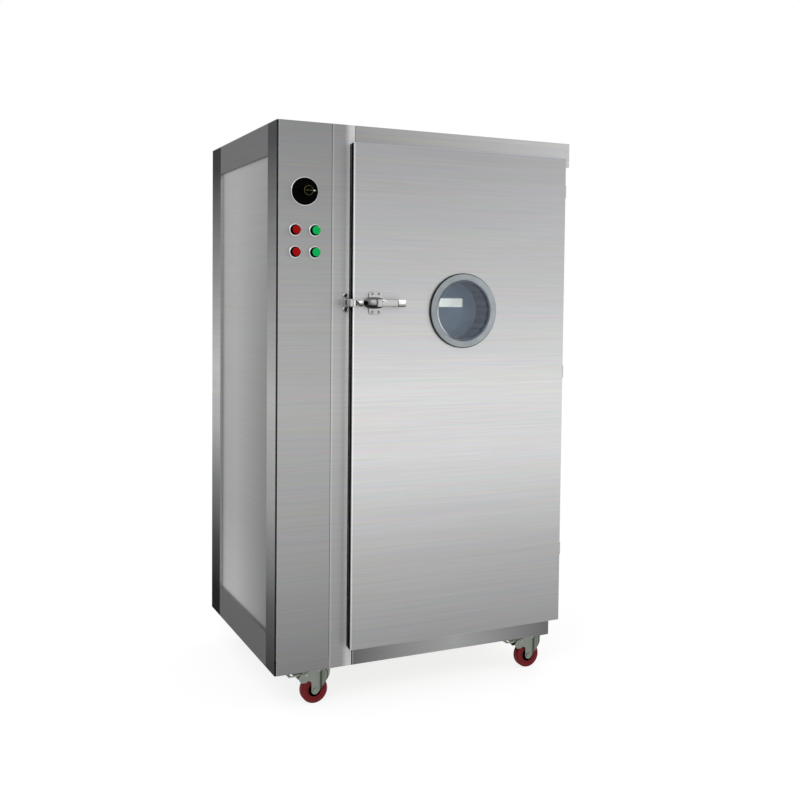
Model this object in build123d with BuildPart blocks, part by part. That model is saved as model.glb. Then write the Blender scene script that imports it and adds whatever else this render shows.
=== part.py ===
import os

from build123d import *

os.makedirs("parts", exist_ok=True)

# Disinfection cabinet on casters, in millimetres. The origin lies on the floor, under the
# middle of the overall box. X runs to the right along the front, Y to the back, Z up.

# Overall sizes
body_width = 1024.0
body_depth = 786.0
body_height = 1750.0
caster_height = 124.0
cover_overhang = 56.0
cover_height = 82.0
skin = 1.5
bend_radius = 1.2
reveal = 1.5
flange_depth = 20.0
return_depth = 12.0

# Column, stile and plinth
column_width = 182.0
stile_width = 77.0
corner_gap = 4.0
plinth_height = 74.0

# Left side, seen as a frame round an inset panel
side_front_width = 94.0
side_back_width = 118.0
side_top_width = 100.0
side_bottom_width = 110.0
side_inset = 8.0
side_panel_lap = 15.0

# Base frame of folded channels, open on top
channel_width = 60.0
channel_height = 40.0
channel_wall = 3.0

# Chamber and its insulation
liner_wall = 1.2
liner_seam = 0.1
chamber_height = 1554.0
chamber_depth = 660.0
flange_left = 22.0
flange_bottom = 20.5
flange_top = 16.5
insulation_back = 40.0
insulation_top = 49.0
insulation_left = 34.0
insulation_right = 26.0
insulation_setback = 15.0

# Door
door_lap_left = 40.0
door_lap_right = 45.0
door_lap_bottom = 35.0
door_lap_top = 42.0
door_proud = 35.0
door_fold = 6.0
edge_profile_width = 16.0
edge_recess = 0.6
gasket_gap = 0.3
gasket_height = 7.5
gasket_lap = 19.0
gasket_margin = 3.0
plug_depth = 56.0
plug_gap = 14.0

# Porthole
window_left_of_middle = 3.5
window_above_base = 1160.0
ring_outer_radius = 123.0
ring_inner_radius = 99.0
ring_proud = 13.0
sleeve_wall = 3.0
pane_thickness = 6.0
pane_gap = 0.2
pane_setback = 9.0
inner_ring_width = 20.0
inner_ring_proud = 12.0

# Door hinges
hinge_count = 3
hinge_spacing = 630.0
hinge_lowest = 250.0
knuckle_length = 44.7
knuckle_gap = 0.6
knuckle_radius = 7.0
pin_radius = 4.0
running_clearance = 0.05
pin_from_door_edge = 8.0
pin_setforward = 10.0
leaf_thickness = 3.0
door_leaf_depth = 24.0
frame_leaf_depth = 55.0
frame_leaf_start = 3.0
door_leaf_screw_setback = 15.5

# Latch
latch_above_base = 1184.0
latch_pivot_from_left = 322.0
latch_pivot_height = 27.0
housing_height = 41.0
housing_half_height = 18.5
housing_left_reach = 38.0
housing_right_reach = 14.0
housing_rounding = 9.0
housing_foot = 4.0
foot_width = 46.0
foot_height = 75.0
foot_from_pivot = -2.0
foot_hole_spread_x = 23.0
foot_hole_spread_z = 60.0
lever_half_height = 12.0
lever_hub_radius = 13.0
lever_thickness = 9.0
lever_length = 94.0
lever_tip_length = 26.0
lever_gap = 0.4
lever_pin_radius = 3.5
tongue_height = 16.0
tongue_rod_radius = 5.0
tongue_barrel_radius = 12.0
tongue_barrel_length = 19.0
tongue_eye_half_width = 9.0
tongue_eye_half_height = 11.5
tongue_eye_bore = 4.0
tongue_throw = 8.0
tongue_end_gap = 1.5
keeper_from_left = 228.0
keeper_plate_width = 18.0
keeper_plate_height = 62.0
keeper_plate_thickness = 3.0
keeper_screw_spread = 44.0
keeper_post_width = 10.0
keeper_post_gap = 4.0
keeper_post_half_height = 12.0
keeper_rib_thickness = 3.0
keeper_roller_radius = 4.0
keeper_roller_reach = 5.0

# Clearance of what passes through a hole in a sheet or board
hole_gap = 0.3

# Controls on the column
dial_from_left = 91.0
dial_above_base = 1532.0
dial_radius = 42.5
dial_thickness = 8.0
timer_case_radius = 28.0
timer_case_length = 52.0
knob_radius = 18.0
knob_face_radius = 15.0
knob_height = 31.0
knob_gap = 0.4
knob_stem_radius = 4.0
knob_stem_length = 14.0
button_left_column = 60.5
button_right_column = 126.0
button_top_row = 1411.0
button_bottom_row = 1342.0
bezel_radius = 15.0
bezel_height = 10.0
barrel_radius = 11.0
barrel_length = 28.0
contact_block = 24.0
contact_length = 30.0
cap_radius = 11.5
cap_proud = 18.0
cap_travel = 3.5
cap_gap = 0.3
cap_stem_radius = 4.0
cap_stem_length = 9.0

# Air path, fan, heater and lamp
duct_depth = 70.0
duct_margin = 60.0
fan_above_base = 1290.0
fan_radius = 100.0
fan_hub_radius = 25.0
fan_hub_length = 33.0
fan_blades = 6
blade_thickness = 3.0
blade_chord = 30.0
blade_angle = 35.0
shaft_radius = 6.0
shaft_hole_radius = 9.0
motor_radius = 55.0
motor_length = 74.0
motor_flange = 130.0
motor_flange_thickness = 3.0
heater_radius = 5.5
heater_bend = 20.0
heater_from_wall = 147.0
heater_turn_shift = 50.0
heater_row_spacing = 70.0
heater_above_base = 250.0
lamp_radius = 13.0
lamp_length = 460.0
lamp_drop = 38.0
lamp_holder_width = 30.0
lamp_from_front = 320.0

# Shelves
shelf_count = 3
shelf_lowest = 420.0
shelf_spacing = 360.0
shelf_from_front = 120.0
shelf_depth = 460.0
shelf_sheet = 1.5
shelf_lip = 25.0
rack_post = 4.0
rack_post_width = 20.0
rack_post_inset = 60.0
rack_top_gap = 60.0
rung_reach = 14.0
rung_thickness = 2.0
shelf_side_gap = 1.0
shelf_rim = 25.0
slot_length = 60.0
slot_width = 10.0
slot_columns = 7
slot_rows = 9

# Control gear and cable inlet
gear_plate_height = 400.0
gear_plate_depth = 300.0
gear_plate_thickness = 2.0
gear_above_base = 1080.0
gear_from_front = 140.0
contactor_width = 45.0
contactor_height = 80.0
contactor_depth = 70.0
rail_height = 35.0
rail_depth = 8.0
gland_from_left = 125.0
gland_above_base = 150.0
gland_hex = 24.0
gland_reach = 28.0
gland_bore_radius = 6.5
gland_thread_radius = 10.0
gland_inside = 12.0
louvre_length = 60.0
louvre_width = 6.0

# Screws
screw_radius = 2.5
screw_hole_radius = 2.75
screw_head_radius = 4.6
screw_head_height = 2.6
screw_length = 9.0

# Casters
caster_left_inset = 177.0
caster_right_inset = 33.0
caster_front_inset = 52.0
caster_back_inset = 60.0
wheel_radius = 45.0
wheel_half_width = 15.0
tyre_bore = 22.0
core_half_width = 13.0
hub_radius = 12.0
hub_half_width = 16.0
caster_trail = 28.0
axle_radius = 5.0
caster_plate_width = 64.0
caster_plate_depth = 92.0
caster_plate_thickness = 3.0
race_radius = 26.0
race_height = 6.0
swivel_gap = 0.3
crown_thickness = 5.7
crown_radius = 29.0
kingpin_radius = 6.0
kingpin_head_radius = 10.0
kingpin_head_height = 3.0
cheek_gap = 1.5
cheek_thickness = 3.0
cheek_foot_radius = 13.0
axle_head_radius = 8.0
axle_head_height = 3.5
pedal_pivot_back = 30.0
pedal_pivot_rise = 54.0
pedal_swing_angle = 18.0
pedal_pin_radius = 3.0
pedal_hub_radius = 9.0
pedal_half_width = 12.0
pedal_cam_tip = 4.0
brake_gap = 0.5
pedal_reach = 62.0
pedal_neck = 32.0
pedal_plate_half_width = 20.0
pedal_thickness = 3.0

# Places worked out from the sizes
total_width = body_width + cover_overhang
total_depth = door_proud + housing_height + body_depth + gland_reach
left_x = -total_width / 2
right_x = left_x + body_width
cover_x = right_x + cover_overhang
front_y = -total_depth / 2 + door_proud + housing_height
back_y = front_y + body_depth
base_z = caster_height
top_z = base_z + body_height
channel_top = base_z + channel_height

column_x = left_x + column_width
fascia_x = left_x + skin + corner_gap
stile_x = column_x + reveal
stile_end_x = stile_x + stile_width
flange_x = stile_end_x + reveal
opening_x = flange_x + flange_left
opening_end_x = right_x - insulation_right
plinth_top = base_z + plinth_height
opening_z = plinth_top + reveal + flange_bottom
opening_top = opening_z + chamber_height
flange_top_z = opening_top + flange_top
cover_z = top_z - cover_height
chamber_back = front_y + chamber_depth
rear_y = chamber_back + liner_wall + insulation_back

door_x = opening_x - door_lap_left
door_end_x = opening_end_x + door_lap_right
door_z = opening_z - door_lap_bottom
door_top = opening_top + door_lap_top
door_face = front_y - door_proud
pan_y = front_y - gasket_gap - gasket_height - liner_wall
fold_y = door_face + door_fold
plug_y = front_y + plug_depth
plug_x = opening_x + plug_gap
plug_end_x = opening_end_x - plug_gap
plug_z = opening_z + plug_gap
plug_top = opening_top - plug_gap

window_x = (door_x + door_end_x) / 2 - window_left_of_middle
window_z = base_z + window_above_base
sleeve_radius = ring_inner_radius + sleeve_wall
window_hole_radius = sleeve_radius + 0.5

pin_x = door_end_x + pin_from_door_edge
pin_y = front_y - pin_setforward
hinge_levels = [base_z + hinge_lowest + hinge_spacing * i for i in range(hinge_count)]

latch_z = base_z + latch_above_base
pivot_x = left_x + latch_pivot_from_left
pivot_y = door_face - latch_pivot_height
tongue_y = door_face - tongue_height
keeper_x = left_x + keeper_from_left

fan_x = (opening_x + opening_end_x) / 2
fan_z = base_z + fan_above_base
duct_y = chamber_back - duct_depth
heater_y = chamber_back - duct_depth / 2
heater_z = base_z + heater_above_base
heater_x = opening_x + heater_from_wall
heater_end_x = opening_end_x - heater_from_wall
heater_top = heater_z + 3 * heater_row_spacing

dial_x = left_x + dial_from_left
dial_z = base_z + dial_above_base
gland_x = left_x + gland_from_left
gland_z = base_z + gland_above_base

foot_x = pivot_x + foot_from_pivot
foot_screws = [
    (foot_x + sx * foot_hole_spread_x / 2, latch_z + sz * foot_hole_spread_z / 2)
    for sx in (-1, 1)
    for sz in (-1, 1)
]
keeper_screws = [(keeper_x, latch_z + s * keeper_screw_spread / 2) for s in (-1, 1)]
button_spots = {
    "red_upper": (left_x + button_left_column, base_z + button_top_row),
    "green_upper": (left_x + button_right_column, base_z + button_top_row),
    "red_lower": (left_x + button_left_column, base_z + button_bottom_row),
    "green_lower": (left_x + button_right_column, base_z + button_bottom_row),
}
back_screw_inset = flange_depth / 2 + skin
back_screws = [
    (x, channel_top + 60 + i * (body_height - channel_height - 120) / 5)
    for x in (left_x + back_screw_inset, right_x - back_screw_inset)
    for i in range(6)
]
frame_leaf_screws = [
    (front_y + frame_leaf_start + frame_leaf_depth * share, z + knuckle_length)
    for z in hinge_levels
    for share in (0.4, 0.8)
]
door_leaf_screws = [
    (pin_y - door_leaf_screw_setback, z + knuckle_length * share)
    for z in hinge_levels
    for share in (1.25, 1.75)
]
caster_spots = {
    "front_left": (left_x + caster_left_inset, front_y + caster_front_inset),
    "front_right": (right_x - caster_right_inset, front_y + caster_front_inset),
    "rear_left": (left_x + caster_left_inset, back_y - caster_back_inset),
    "rear_right": (right_x - caster_right_inset, back_y - caster_back_inset),
}


def slab(low, high, mode=Mode.ADD):
    """A block between two opposite corners."""
    with Locations(low):
        Box(*[h - l for l, h in zip(low, high)], align=(Align.MIN,) * 3, mode=mode)


def bar(start, end, radius, mode=Mode.ADD):
    """A round bar, or a round hole, from one point to another."""
    axis = Vector(*end) - Vector(*start)
    with Locations(Plane(origin=start, z_dir=axis)):
        Cylinder(radius, axis.length, align=(Align.CENTER, Align.CENTER, Align.MIN), mode=mode)


def facing(y):
    """The plane at depth y that faces the front, with X across and Z up."""
    return Plane.XZ.offset(-y)


def screw(seat, direction):
    """A pan-head screw whose head sits on the seat and whose shank follows the direction."""
    seat = Vector(*seat)
    inward = Vector(*direction)
    bar(tuple(seat), tuple(seat + inward * screw_length), screw_radius)
    bar(tuple(seat - inward * screw_head_height), tuple(seat), screw_head_radius)


def save(piece, name):
    """Name a finished piece and write it out."""
    piece.part.label = name
    export_step(piece.part, f"parts/{name}.step")


# Base frame: a welded ring of channels with one more channel above the left casters
left_caster_x = left_x + caster_left_inset
bay_y = front_y + channel_width
bay_end_y = back_y - channel_width
with BuildPart() as base_frame:
    slab((left_x + skin, front_y + skin, base_z), (right_x - skin, back_y - skin, channel_top))
    slab(
        (left_x + channel_width, bay_y, base_z),
        (left_caster_x - channel_width / 2, bay_end_y, channel_top),
        Mode.SUBTRACT,
    )
    slab(
        (left_caster_x + channel_width / 2, bay_y, base_z),
        (right_x - channel_width, bay_end_y, channel_top),
        Mode.SUBTRACT,
    )
    offset(amount=-channel_wall, openings=base_frame.faces().sort_by(Axis.Z)[-1])
save(base_frame, "base_frame")

# Left side frame: one folded sheet, cut out for the inset panel
side_y = front_y + side_front_width
side_end_y = back_y - side_back_width
side_z = base_z + side_bottom_width
side_top = top_z - side_top_width
fold_start = channel_top + 1
fold_top = top_z - skin - 1
with BuildPart() as left_side_frame:
    slab((left_x, front_y + skin, base_z), (left_x + skin, back_y, top_z - skin))
    slab(
        (left_x + skin, side_y - skin, side_z - skin),
        (left_x + side_inset, side_end_y + skin, side_top + skin),
    )
    slab((left_x, side_y, side_z), (left_x + side_inset, side_end_y, side_top), Mode.SUBTRACT)
    slab(
        (left_x + skin, front_y + return_depth, fold_start),
        (left_x + skin + flange_depth, front_y + return_depth + skin, fold_top),
    )
    slab(
        (left_x + skin, back_y - 2 * skin, fold_start),
        (left_x + skin + flange_depth, back_y - skin, fold_top),
    )
    for x, z in back_screws:
        bar((x, back_y - 3 * skin, z), (x, back_y, z), screw_hole_radius, Mode.SUBTRACT)
save(left_side_frame, "left_side_frame")

with BuildPart() as left_side_panel:
    slab(
        (left_x + side_inset, side_y - side_panel_lap, side_z - side_panel_lap),
        (left_x + side_inset + skin, side_end_y + side_panel_lap, side_top + side_panel_lap),
    )
save(left_side_panel, "left_side_panel")

# Right side panel: plain, notched at its top front corner for the cover's apron
with BuildPart() as right_side_panel:
    slab((right_x - skin, front_y, base_z), (right_x, back_y, top_z - skin))
    slab((right_x - skin, front_y, cover_z), (right_x, front_y + skin, top_z), Mode.SUBTRACT)
    slab(
        (right_x - skin - flange_depth, back_y - 2 * skin, fold_start),
        (right_x - skin, back_y - skin, fold_top),
    )
    for x, z in back_screws:
        bar((x, back_y - 3 * skin, z), (x, back_y, z), screw_hole_radius, Mode.SUBTRACT)
    for y, z in frame_leaf_screws:
        bar((right_x - 2 * skin, y, z), (right_x, y, z), screw_hole_radius, Mode.SUBTRACT)
save(right_side_panel, "right_side_panel")

# Back panel: louvres beside the motor and above the base, and the cable inlet
with BuildPart() as back_panel:
    slab((left_x + skin, back_y - skin, base_z), (right_x - skin, back_y, top_z - skin))
    for x, z in back_screws:
        bar((x, back_y - skin, z), (x, back_y, z), screw_hole_radius, Mode.SUBTRACT)
    bar(
        (gland_x, back_y - skin, gland_z),
        (gland_x, back_y, gland_z),
        gland_thread_radius + hole_gap,
        Mode.SUBTRACT,
    )
    with BuildSketch(facing(back_y)):
        for z in (fan_z, heater_z):
            with Locations((fan_x, z)):
                with GridLocations(louvre_length + 20, louvre_width + 12, 4, 6):
                    SlotOverall(louvre_length, louvre_width)
    extrude(amount=skin, mode=Mode.SUBTRACT)
save(back_panel, "back_panel")

# Top cover: one folded sheet whose apron is the header above the door and whose right end
# stands past the body as a closed box
with BuildPart() as top_cover:
    slab((left_x, front_y + skin, top_z - skin), (flange_x, back_y, top_z))
    slab((flange_x, front_y, top_z - skin), (cover_x, back_y, top_z))
    slab((flange_x, front_y, cover_z), (cover_x, front_y + skin, top_z))
    slab((right_x, front_y, cover_z), (cover_x, back_y, cover_z + skin))
    slab((cover_x - skin, front_y, cover_z), (cover_x, back_y, top_z))
    slab((right_x, back_y - skin, cover_z), (cover_x, back_y, top_z))
    fillet(
        top_cover.edges().filter_by_position(Axis.X, cover_x - 0.1, cover_x + 0.1)
        .filter_by(Axis.Z).sort_by(Axis.Y)[0],
        radius=bend_radius,
    )
save(top_cover, "top_cover")

with BuildPart() as plinth_panel:
    slab((flange_x, front_y, base_z), (right_x - skin, front_y + skin, plinth_top))
save(plinth_panel, "plinth_panel")

# Control fascia: bent back at both sides, with a narrow groove between it and the cabinet's
# left corner, and drilled for the timer and the four buttons
with BuildPart() as control_fascia:
    slab((fascia_x, front_y, base_z), (column_x, front_y + skin, top_z))
    fillet(
        control_fascia.edges().filter_by(Axis.Z).group_by(Axis.X)[0].sort_by(Axis.Y)[0],
        radius=bend_radius,
    )
    slab((fascia_x, front_y + skin, fold_start), (fascia_x + skin, front_y + return_depth, fold_top))
    slab((column_x - skin, front_y, fold_start), (column_x, front_y + return_depth, fold_top))
    bar(
        (dial_x, front_y, dial_z),
        (dial_x, front_y + skin, dial_z),
        timer_case_radius + hole_gap,
        Mode.SUBTRACT,
    )
    for x, z in button_spots.values():
        bar((x, front_y, z), (x, front_y + skin, z), barrel_radius + hole_gap, Mode.SUBTRACT)
save(control_fascia, "control_fascia")

# Door stile: the fixed jamb between column and door, which carries the keeper
with BuildPart() as door_stile:
    slab((stile_x, front_y, base_z), (stile_end_x, front_y + skin, top_z))
    slab((stile_x, front_y, fold_start), (stile_x + skin, front_y + return_depth, fold_top))
    slab(
        (stile_end_x - skin, front_y, fold_start),
        (stile_end_x, front_y + return_depth, fold_top),
    )
    for x, z in keeper_screws:
        bar((x, front_y, z), (x, front_y + skin, z), screw_hole_radius, Mode.SUBTRACT)
save(door_stile, "door_stile")

# Chamber liner: five sheets with welded seams. The walls, floor and ceiling each turn out in
# front, as the flange that the door gasket meets
heater_ends = [(heater_x, heater_z), (heater_x, heater_top)]
flange_z = plinth_top + reveal
liner_end_y = chamber_back + liner_wall
with BuildPart() as chamber_liner:
    # Left and right walls
    for wall_x, side, fold_x in (
        (opening_x, -1, flange_x),
        (opening_end_x, 1, right_x - skin),
    ):
        outer_x = wall_x + side * liner_wall
        slab(
            (min(wall_x, outer_x), front_y, opening_z - liner_wall),
            (max(wall_x, outer_x), liner_end_y, opening_top + liner_wall),
        )
        slab(
            (min(wall_x, fold_x), front_y, flange_z),
            (max(wall_x, fold_x), front_y + liner_wall, flange_top_z),
        )
    # Floor and ceiling
    between_x, between_end_x = opening_x + liner_seam, opening_end_x - liner_seam
    for wall_z, side, fold_z in ((opening_z, -1, flange_z), (opening_top, 1, flange_top_z)):
        outer_z = wall_z + side * liner_wall
        slab(
            (between_x, front_y, min(wall_z, outer_z)),
            (between_end_x, liner_end_y, max(wall_z, outer_z)),
        )
        slab(
            (between_x, front_y, min(wall_z, fold_z)),
            (between_end_x, front_y + liner_wall, max(wall_z, fold_z)),
        )
    # Back
    slab(
        (between_x, chamber_back, opening_z + liner_seam),
        (between_end_x, liner_end_y, opening_top - liner_seam),
    )
    bar(
        (fan_x, chamber_back, fan_z),
        (fan_x, liner_end_y, fan_z),
        shaft_hole_radius,
        Mode.SUBTRACT,
    )
    for x, z in heater_ends:
        bar((x, chamber_back, z), (x, liner_end_y, z), heater_radius + hole_gap, Mode.SUBTRACT)
save(chamber_liner, "chamber_liner")

# Insulation boards round the liner, set back from the front folds
with BuildPart() as chamber_insulation:
    slab(
        (opening_x - insulation_left, front_y + insulation_setback, channel_top),
        (right_x - skin, rear_y, opening_top + liner_wall + insulation_top),
    )
    slab(
        (opening_x - liner_wall, front_y, opening_z - liner_wall),
        (opening_end_x + liner_wall, chamber_back + liner_wall, opening_top + liner_wall),
        Mode.SUBTRACT,
    )
    bar((fan_x, chamber_back, fan_z), (fan_x, rear_y, fan_z), shaft_hole_radius, Mode.SUBTRACT)
    for x, z in heater_ends:
        bar((x, chamber_back, z), (x, rear_y, z), heater_radius + hole_gap, Mode.SUBTRACT)
    for y, z in frame_leaf_screws:
        bar((right_x - screw_length, y, z), (right_x, y, z), screw_hole_radius, Mode.SUBTRACT)
save(chamber_insulation, "chamber_insulation")

# Ladder racks on the two side walls of the chamber
shelf_levels = [base_z + shelf_lowest + shelf_spacing * i for i in range(shelf_count)]
shelf_y = front_y + shelf_from_front
shelf_end_y = shelf_y + shelf_depth
with BuildPart() as shelf_racks:
    for wall_x, side in ((opening_x, 1), (opening_end_x, -1)):
        inner_x = wall_x + side * rack_post
        rung_x = wall_x + side * rung_reach
        for y in (shelf_y + rack_post_inset, shelf_end_y - rack_post_inset - rack_post_width):
            slab(
                (min(wall_x, inner_x), y, opening_z),
                (max(wall_x, inner_x), y + rack_post_width, opening_top - rack_top_gap),
            )
        for z in shelf_levels:
            slab(
                (min(wall_x, rung_x), shelf_y, z - rung_thickness),
                (max(wall_x, rung_x), shelf_end_y, z),
            )
save(shelf_racks, "shelf_racks")

# Slotted shelves with a lip turned down at front and back
shelf_x = opening_x + rack_post + shelf_side_gap
shelf_end_x = opening_end_x - rack_post - shelf_side_gap
lip_x = opening_x + rung_reach + shelf_side_gap
lip_end_x = opening_end_x - rung_reach - shelf_side_gap
for number, z in enumerate(shelf_levels, start=1):
    with BuildPart() as shelf:
        slab((shelf_x, shelf_y, z), (shelf_end_x, shelf_end_y, z + shelf_sheet))
        for y in (shelf_y, shelf_end_y - shelf_sheet):
            slab((lip_x, y, z - shelf_lip), (lip_end_x, y + shelf_sheet, z + shelf_sheet))
        with BuildSketch(Plane.XY.offset(z)):
            with Locations((fan_x, (shelf_y + shelf_end_y) / 2)):
                with GridLocations(
                    (shelf_end_x - shelf_x - 2 * shelf_rim) / slot_columns,
                    (shelf_depth - 2 * shelf_rim) / slot_rows,
                    slot_columns,
                    slot_rows,
                ):
                    SlotOverall(slot_length, slot_width)
        extrude(amount=shelf_sheet, mode=Mode.SUBTRACT)
    save(shelf, f"shelf_{number}")

# Duct panel in front of the fan and heater, with an inlet grille and outlet slots
duct_z = opening_z + duct_margin
duct_top = opening_top - duct_margin
with BuildPart() as duct_panel:
    slab((opening_x, duct_y, duct_z), (opening_end_x, duct_y + skin, duct_top))
    slab((opening_x, duct_y, duct_top - skin), (opening_end_x, chamber_back, duct_top))
    slab((opening_x, duct_y, duct_z), (opening_end_x, chamber_back, duct_z + skin))
    with BuildSketch(facing(duct_y + skin)):
        with Locations((fan_x, fan_z)):
            for ring_radius, holes in ((28, 6), (54, 12), (80, 18)):
                with PolarLocations(ring_radius, holes):
                    Circle(9)
        with Locations((fan_x, (heater_z + heater_top) / 2)):
            with GridLocations(slot_length + 15, 30, 6, 8):
                SlotOverall(slot_length, slot_width)
    extrude(amount=skin, mode=Mode.SUBTRACT)
save(duct_panel, "duct_panel")

# Fan motor, bolted through the insulation at the back
motor_back = rear_y + motor_length
with BuildPart() as fan_motor:
    with BuildSketch(facing(rear_y + motor_flange_thickness)):
        with Locations((fan_x, fan_z)):
            RectangleRounded(motor_flange, motor_flange, 12)
    extrude(amount=motor_flange_thickness)
    bar((fan_x, rear_y, fan_z), (fan_x, motor_back, fan_z), motor_radius)
    bar(
        (fan_x, rear_y, fan_z),
        (fan_x, motor_back - 20, fan_z),
        shaft_radius + running_clearance,
        Mode.SUBTRACT,
    )
    fillet(fan_motor.edges().filter_by(GeomType.CIRCLE).sort_by(Axis.Y)[-1], radius=6)
save(fan_motor, "fan_motor")

# Fan rotor: shaft, hub and pitched blades
hub_y = heater_y - fan_hub_length / 2
with BuildPart() as fan_rotor:
    bar((fan_x, hub_y, fan_z), (fan_x, motor_back - 21, fan_z), shaft_radius)
    bar((fan_x, hub_y, fan_z), (fan_x, hub_y + fan_hub_length, fan_z), fan_hub_radius)
    with Locations(Plane(origin=(fan_x, heater_y, fan_z), z_dir=(0, -1, 0))):
        with PolarLocations((fan_radius + fan_hub_radius) / 2 - 2, fan_blades):
            Box(
                fan_radius - fan_hub_radius + 4,
                blade_chord,
                blade_thickness,
                rotation=(blade_angle, 0, 0),
            )
save(fan_rotor, "fan_rotor")

# Tubular heater, bent back and forth below the fan, its ends brought out at the back
heater_out = rear_y + 14
heater_turn_x = heater_x + heater_turn_shift
heater_path = [
    (heater_x, heater_out, heater_z),
    (heater_x, heater_y, heater_z),
    (heater_end_x, heater_y, heater_z),
    (heater_end_x, heater_y, heater_z + heater_row_spacing),
    (heater_turn_x, heater_y, heater_z + heater_row_spacing),
    (heater_turn_x, heater_y, heater_z + 2 * heater_row_spacing),
    (heater_end_x, heater_y, heater_z + 2 * heater_row_spacing),
    (heater_end_x, heater_y, heater_top),
    (heater_x, heater_y, heater_top),
    (heater_x, heater_out, heater_top),
]
with BuildPart() as heater_element:
    with BuildLine() as heater_line:
        FilletPolyline(*heater_path, radius=heater_bend)
    with BuildSketch(Plane(origin=heater_line.line @ 0, z_dir=heater_line.line % 0)):
        Circle(heater_radius)
    sweep()
save(heater_element, "heater_element")

# Ozone lamp under the chamber's ceiling, held at both ends
lamp_y = front_y + lamp_from_front
lamp_z = opening_top - lamp_drop
lamp_x = fan_x - lamp_length / 2
lamp_end_x = fan_x + lamp_length / 2
with BuildPart() as ozone_lamp:
    bar((lamp_x, lamp_y, lamp_z), (lamp_end_x, lamp_y, lamp_z), lamp_radius)
    for x in (lamp_x, lamp_end_x - lamp_holder_width):
        slab(
            (x, lamp_y - lamp_radius - 4, lamp_z - lamp_radius - 4),
            (x + lamp_holder_width, lamp_y + lamp_radius + 4, opening_top),
        )
save(ozone_lamp, "ozone_lamp")

# Control gear: a plate on the insulation's left face, with a rail and three contactors
gear_x = opening_x - insulation_left
gear_y = front_y + gear_from_front
gear_z = base_z + gear_above_base
rail_z = gear_z + gear_plate_height * 0.6
with BuildPart() as control_gear:
    slab(
        (gear_x - gear_plate_thickness, gear_y, gear_z),
        (gear_x, gear_y + gear_plate_depth, gear_z + gear_plate_height),
    )
    slab(
        (gear_x - gear_plate_thickness - rail_depth, gear_y + 20, rail_z),
        (gear_x - gear_plate_thickness, gear_y + gear_plate_depth - 20, rail_z + rail_height),
    )
    for i in range(3):
        y = gear_y + 40 + i * (contactor_width + 15)
        slab(
            (gear_x - gear_plate_thickness - contactor_depth, y, rail_z - 22),
            (gear_x - gear_plate_thickness, y + contactor_width, rail_z - 22 + contactor_height),
        )
save(control_gear, "control_gear")

# Cable gland in the back panel, drilled through
with BuildPart() as cable_gland:
    with BuildSketch(facing(back_y + gland_reach)):
        with Locations((gland_x, gland_z)):
            RegularPolygon(gland_hex / 2, 6, major_radius=False)
    extrude(amount=gland_reach)
    chamfer(cable_gland.faces().sort_by(Axis.Y)[-1].edges(), length=1.5)
    bar(
        (gland_x, back_y - gland_inside, gland_z),
        (gland_x, back_y, gland_z),
        gland_thread_radius,
    )
    bar(
        (gland_x, back_y - gland_inside, gland_z),
        (gland_x, back_y + gland_reach, gland_z),
        gland_bore_radius,
        Mode.SUBTRACT,
    )
save(cable_gland, "cable_gland")

# Hinges: the lower knuckle and the pin belong to the frame leaf, the upper knuckle to the
# door leaf. The axis lies beside the door's right edge, behind its face.
side_plate_y = front_y + frame_leaf_start
with BuildPart() as hinge_frame_leaves:
    for z in hinge_levels:
        slab(
            (right_x, side_plate_y, z),
            (right_x + leaf_thickness, side_plate_y + frame_leaf_depth, z + 2 * knuckle_length),
        )
        slab(
            (right_x, side_plate_y, z),
            (pin_x + leaf_thickness, side_plate_y + leaf_thickness, z + knuckle_length),
        )
        slab(
            (pin_x - leaf_thickness, pin_y, z),
            (pin_x + leaf_thickness, side_plate_y + leaf_thickness, z + knuckle_length),
        )
        bar((pin_x, pin_y, z), (pin_x, pin_y, z + knuckle_length), knuckle_radius)
        bar((pin_x, pin_y, z), (pin_x, pin_y, z + 2 * knuckle_length), pin_radius)
    for y, z in frame_leaf_screws:
        bar((right_x, y, z), (right_x + leaf_thickness, y, z), screw_hole_radius, Mode.SUBTRACT)
save(hinge_frame_leaves, "hinge_frame_leaves")

with BuildPart() as hinge_door_leaves:
    for level in hinge_levels:
        z = level + knuckle_length + knuckle_gap
        slab(
            (door_end_x, pin_y - door_leaf_depth, z),
            (door_end_x + leaf_thickness, pin_y, z + knuckle_length - knuckle_gap),
        )
        knuckle_top = z + knuckle_length - knuckle_gap
        bar((pin_x, pin_y, z), (pin_x, pin_y, knuckle_top), knuckle_radius)
        bar(
            (pin_x, pin_y, z),
            (pin_x, pin_y, knuckle_top),
            pin_radius + running_clearance,
            Mode.SUBTRACT,
        )
    for y, z in door_leaf_screws:
        bar(
            (door_end_x, y, z),
            (door_end_x + leaf_thickness, y, z),
            screw_hole_radius,
            Mode.SUBTRACT,
        )
save(hinge_door_leaves, "hinge_door_leaves")

# Door outer panel: a shallow pan with its rim folded back
with BuildPart() as door_outer_panel:
    slab((door_x, door_face, door_z), (door_end_x, fold_y, door_top))
    fillet(door_outer_panel.faces().sort_by(Axis.Y)[0].edges(), radius=bend_radius)
    slab(
        (door_x + skin, door_face + skin, door_z + skin),
        (door_end_x - skin, fold_y, door_top - skin),
        Mode.SUBTRACT,
    )
    bar(
        (window_x, door_face, window_z),
        (window_x, door_face + skin, window_z),
        window_hole_radius,
        Mode.SUBTRACT,
    )
    for x, z in foot_screws:
        bar((x, door_face, z), (x, door_face + skin, z), screw_hole_radius, Mode.SUBTRACT)
save(door_outer_panel, "door_outer_panel")

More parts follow.
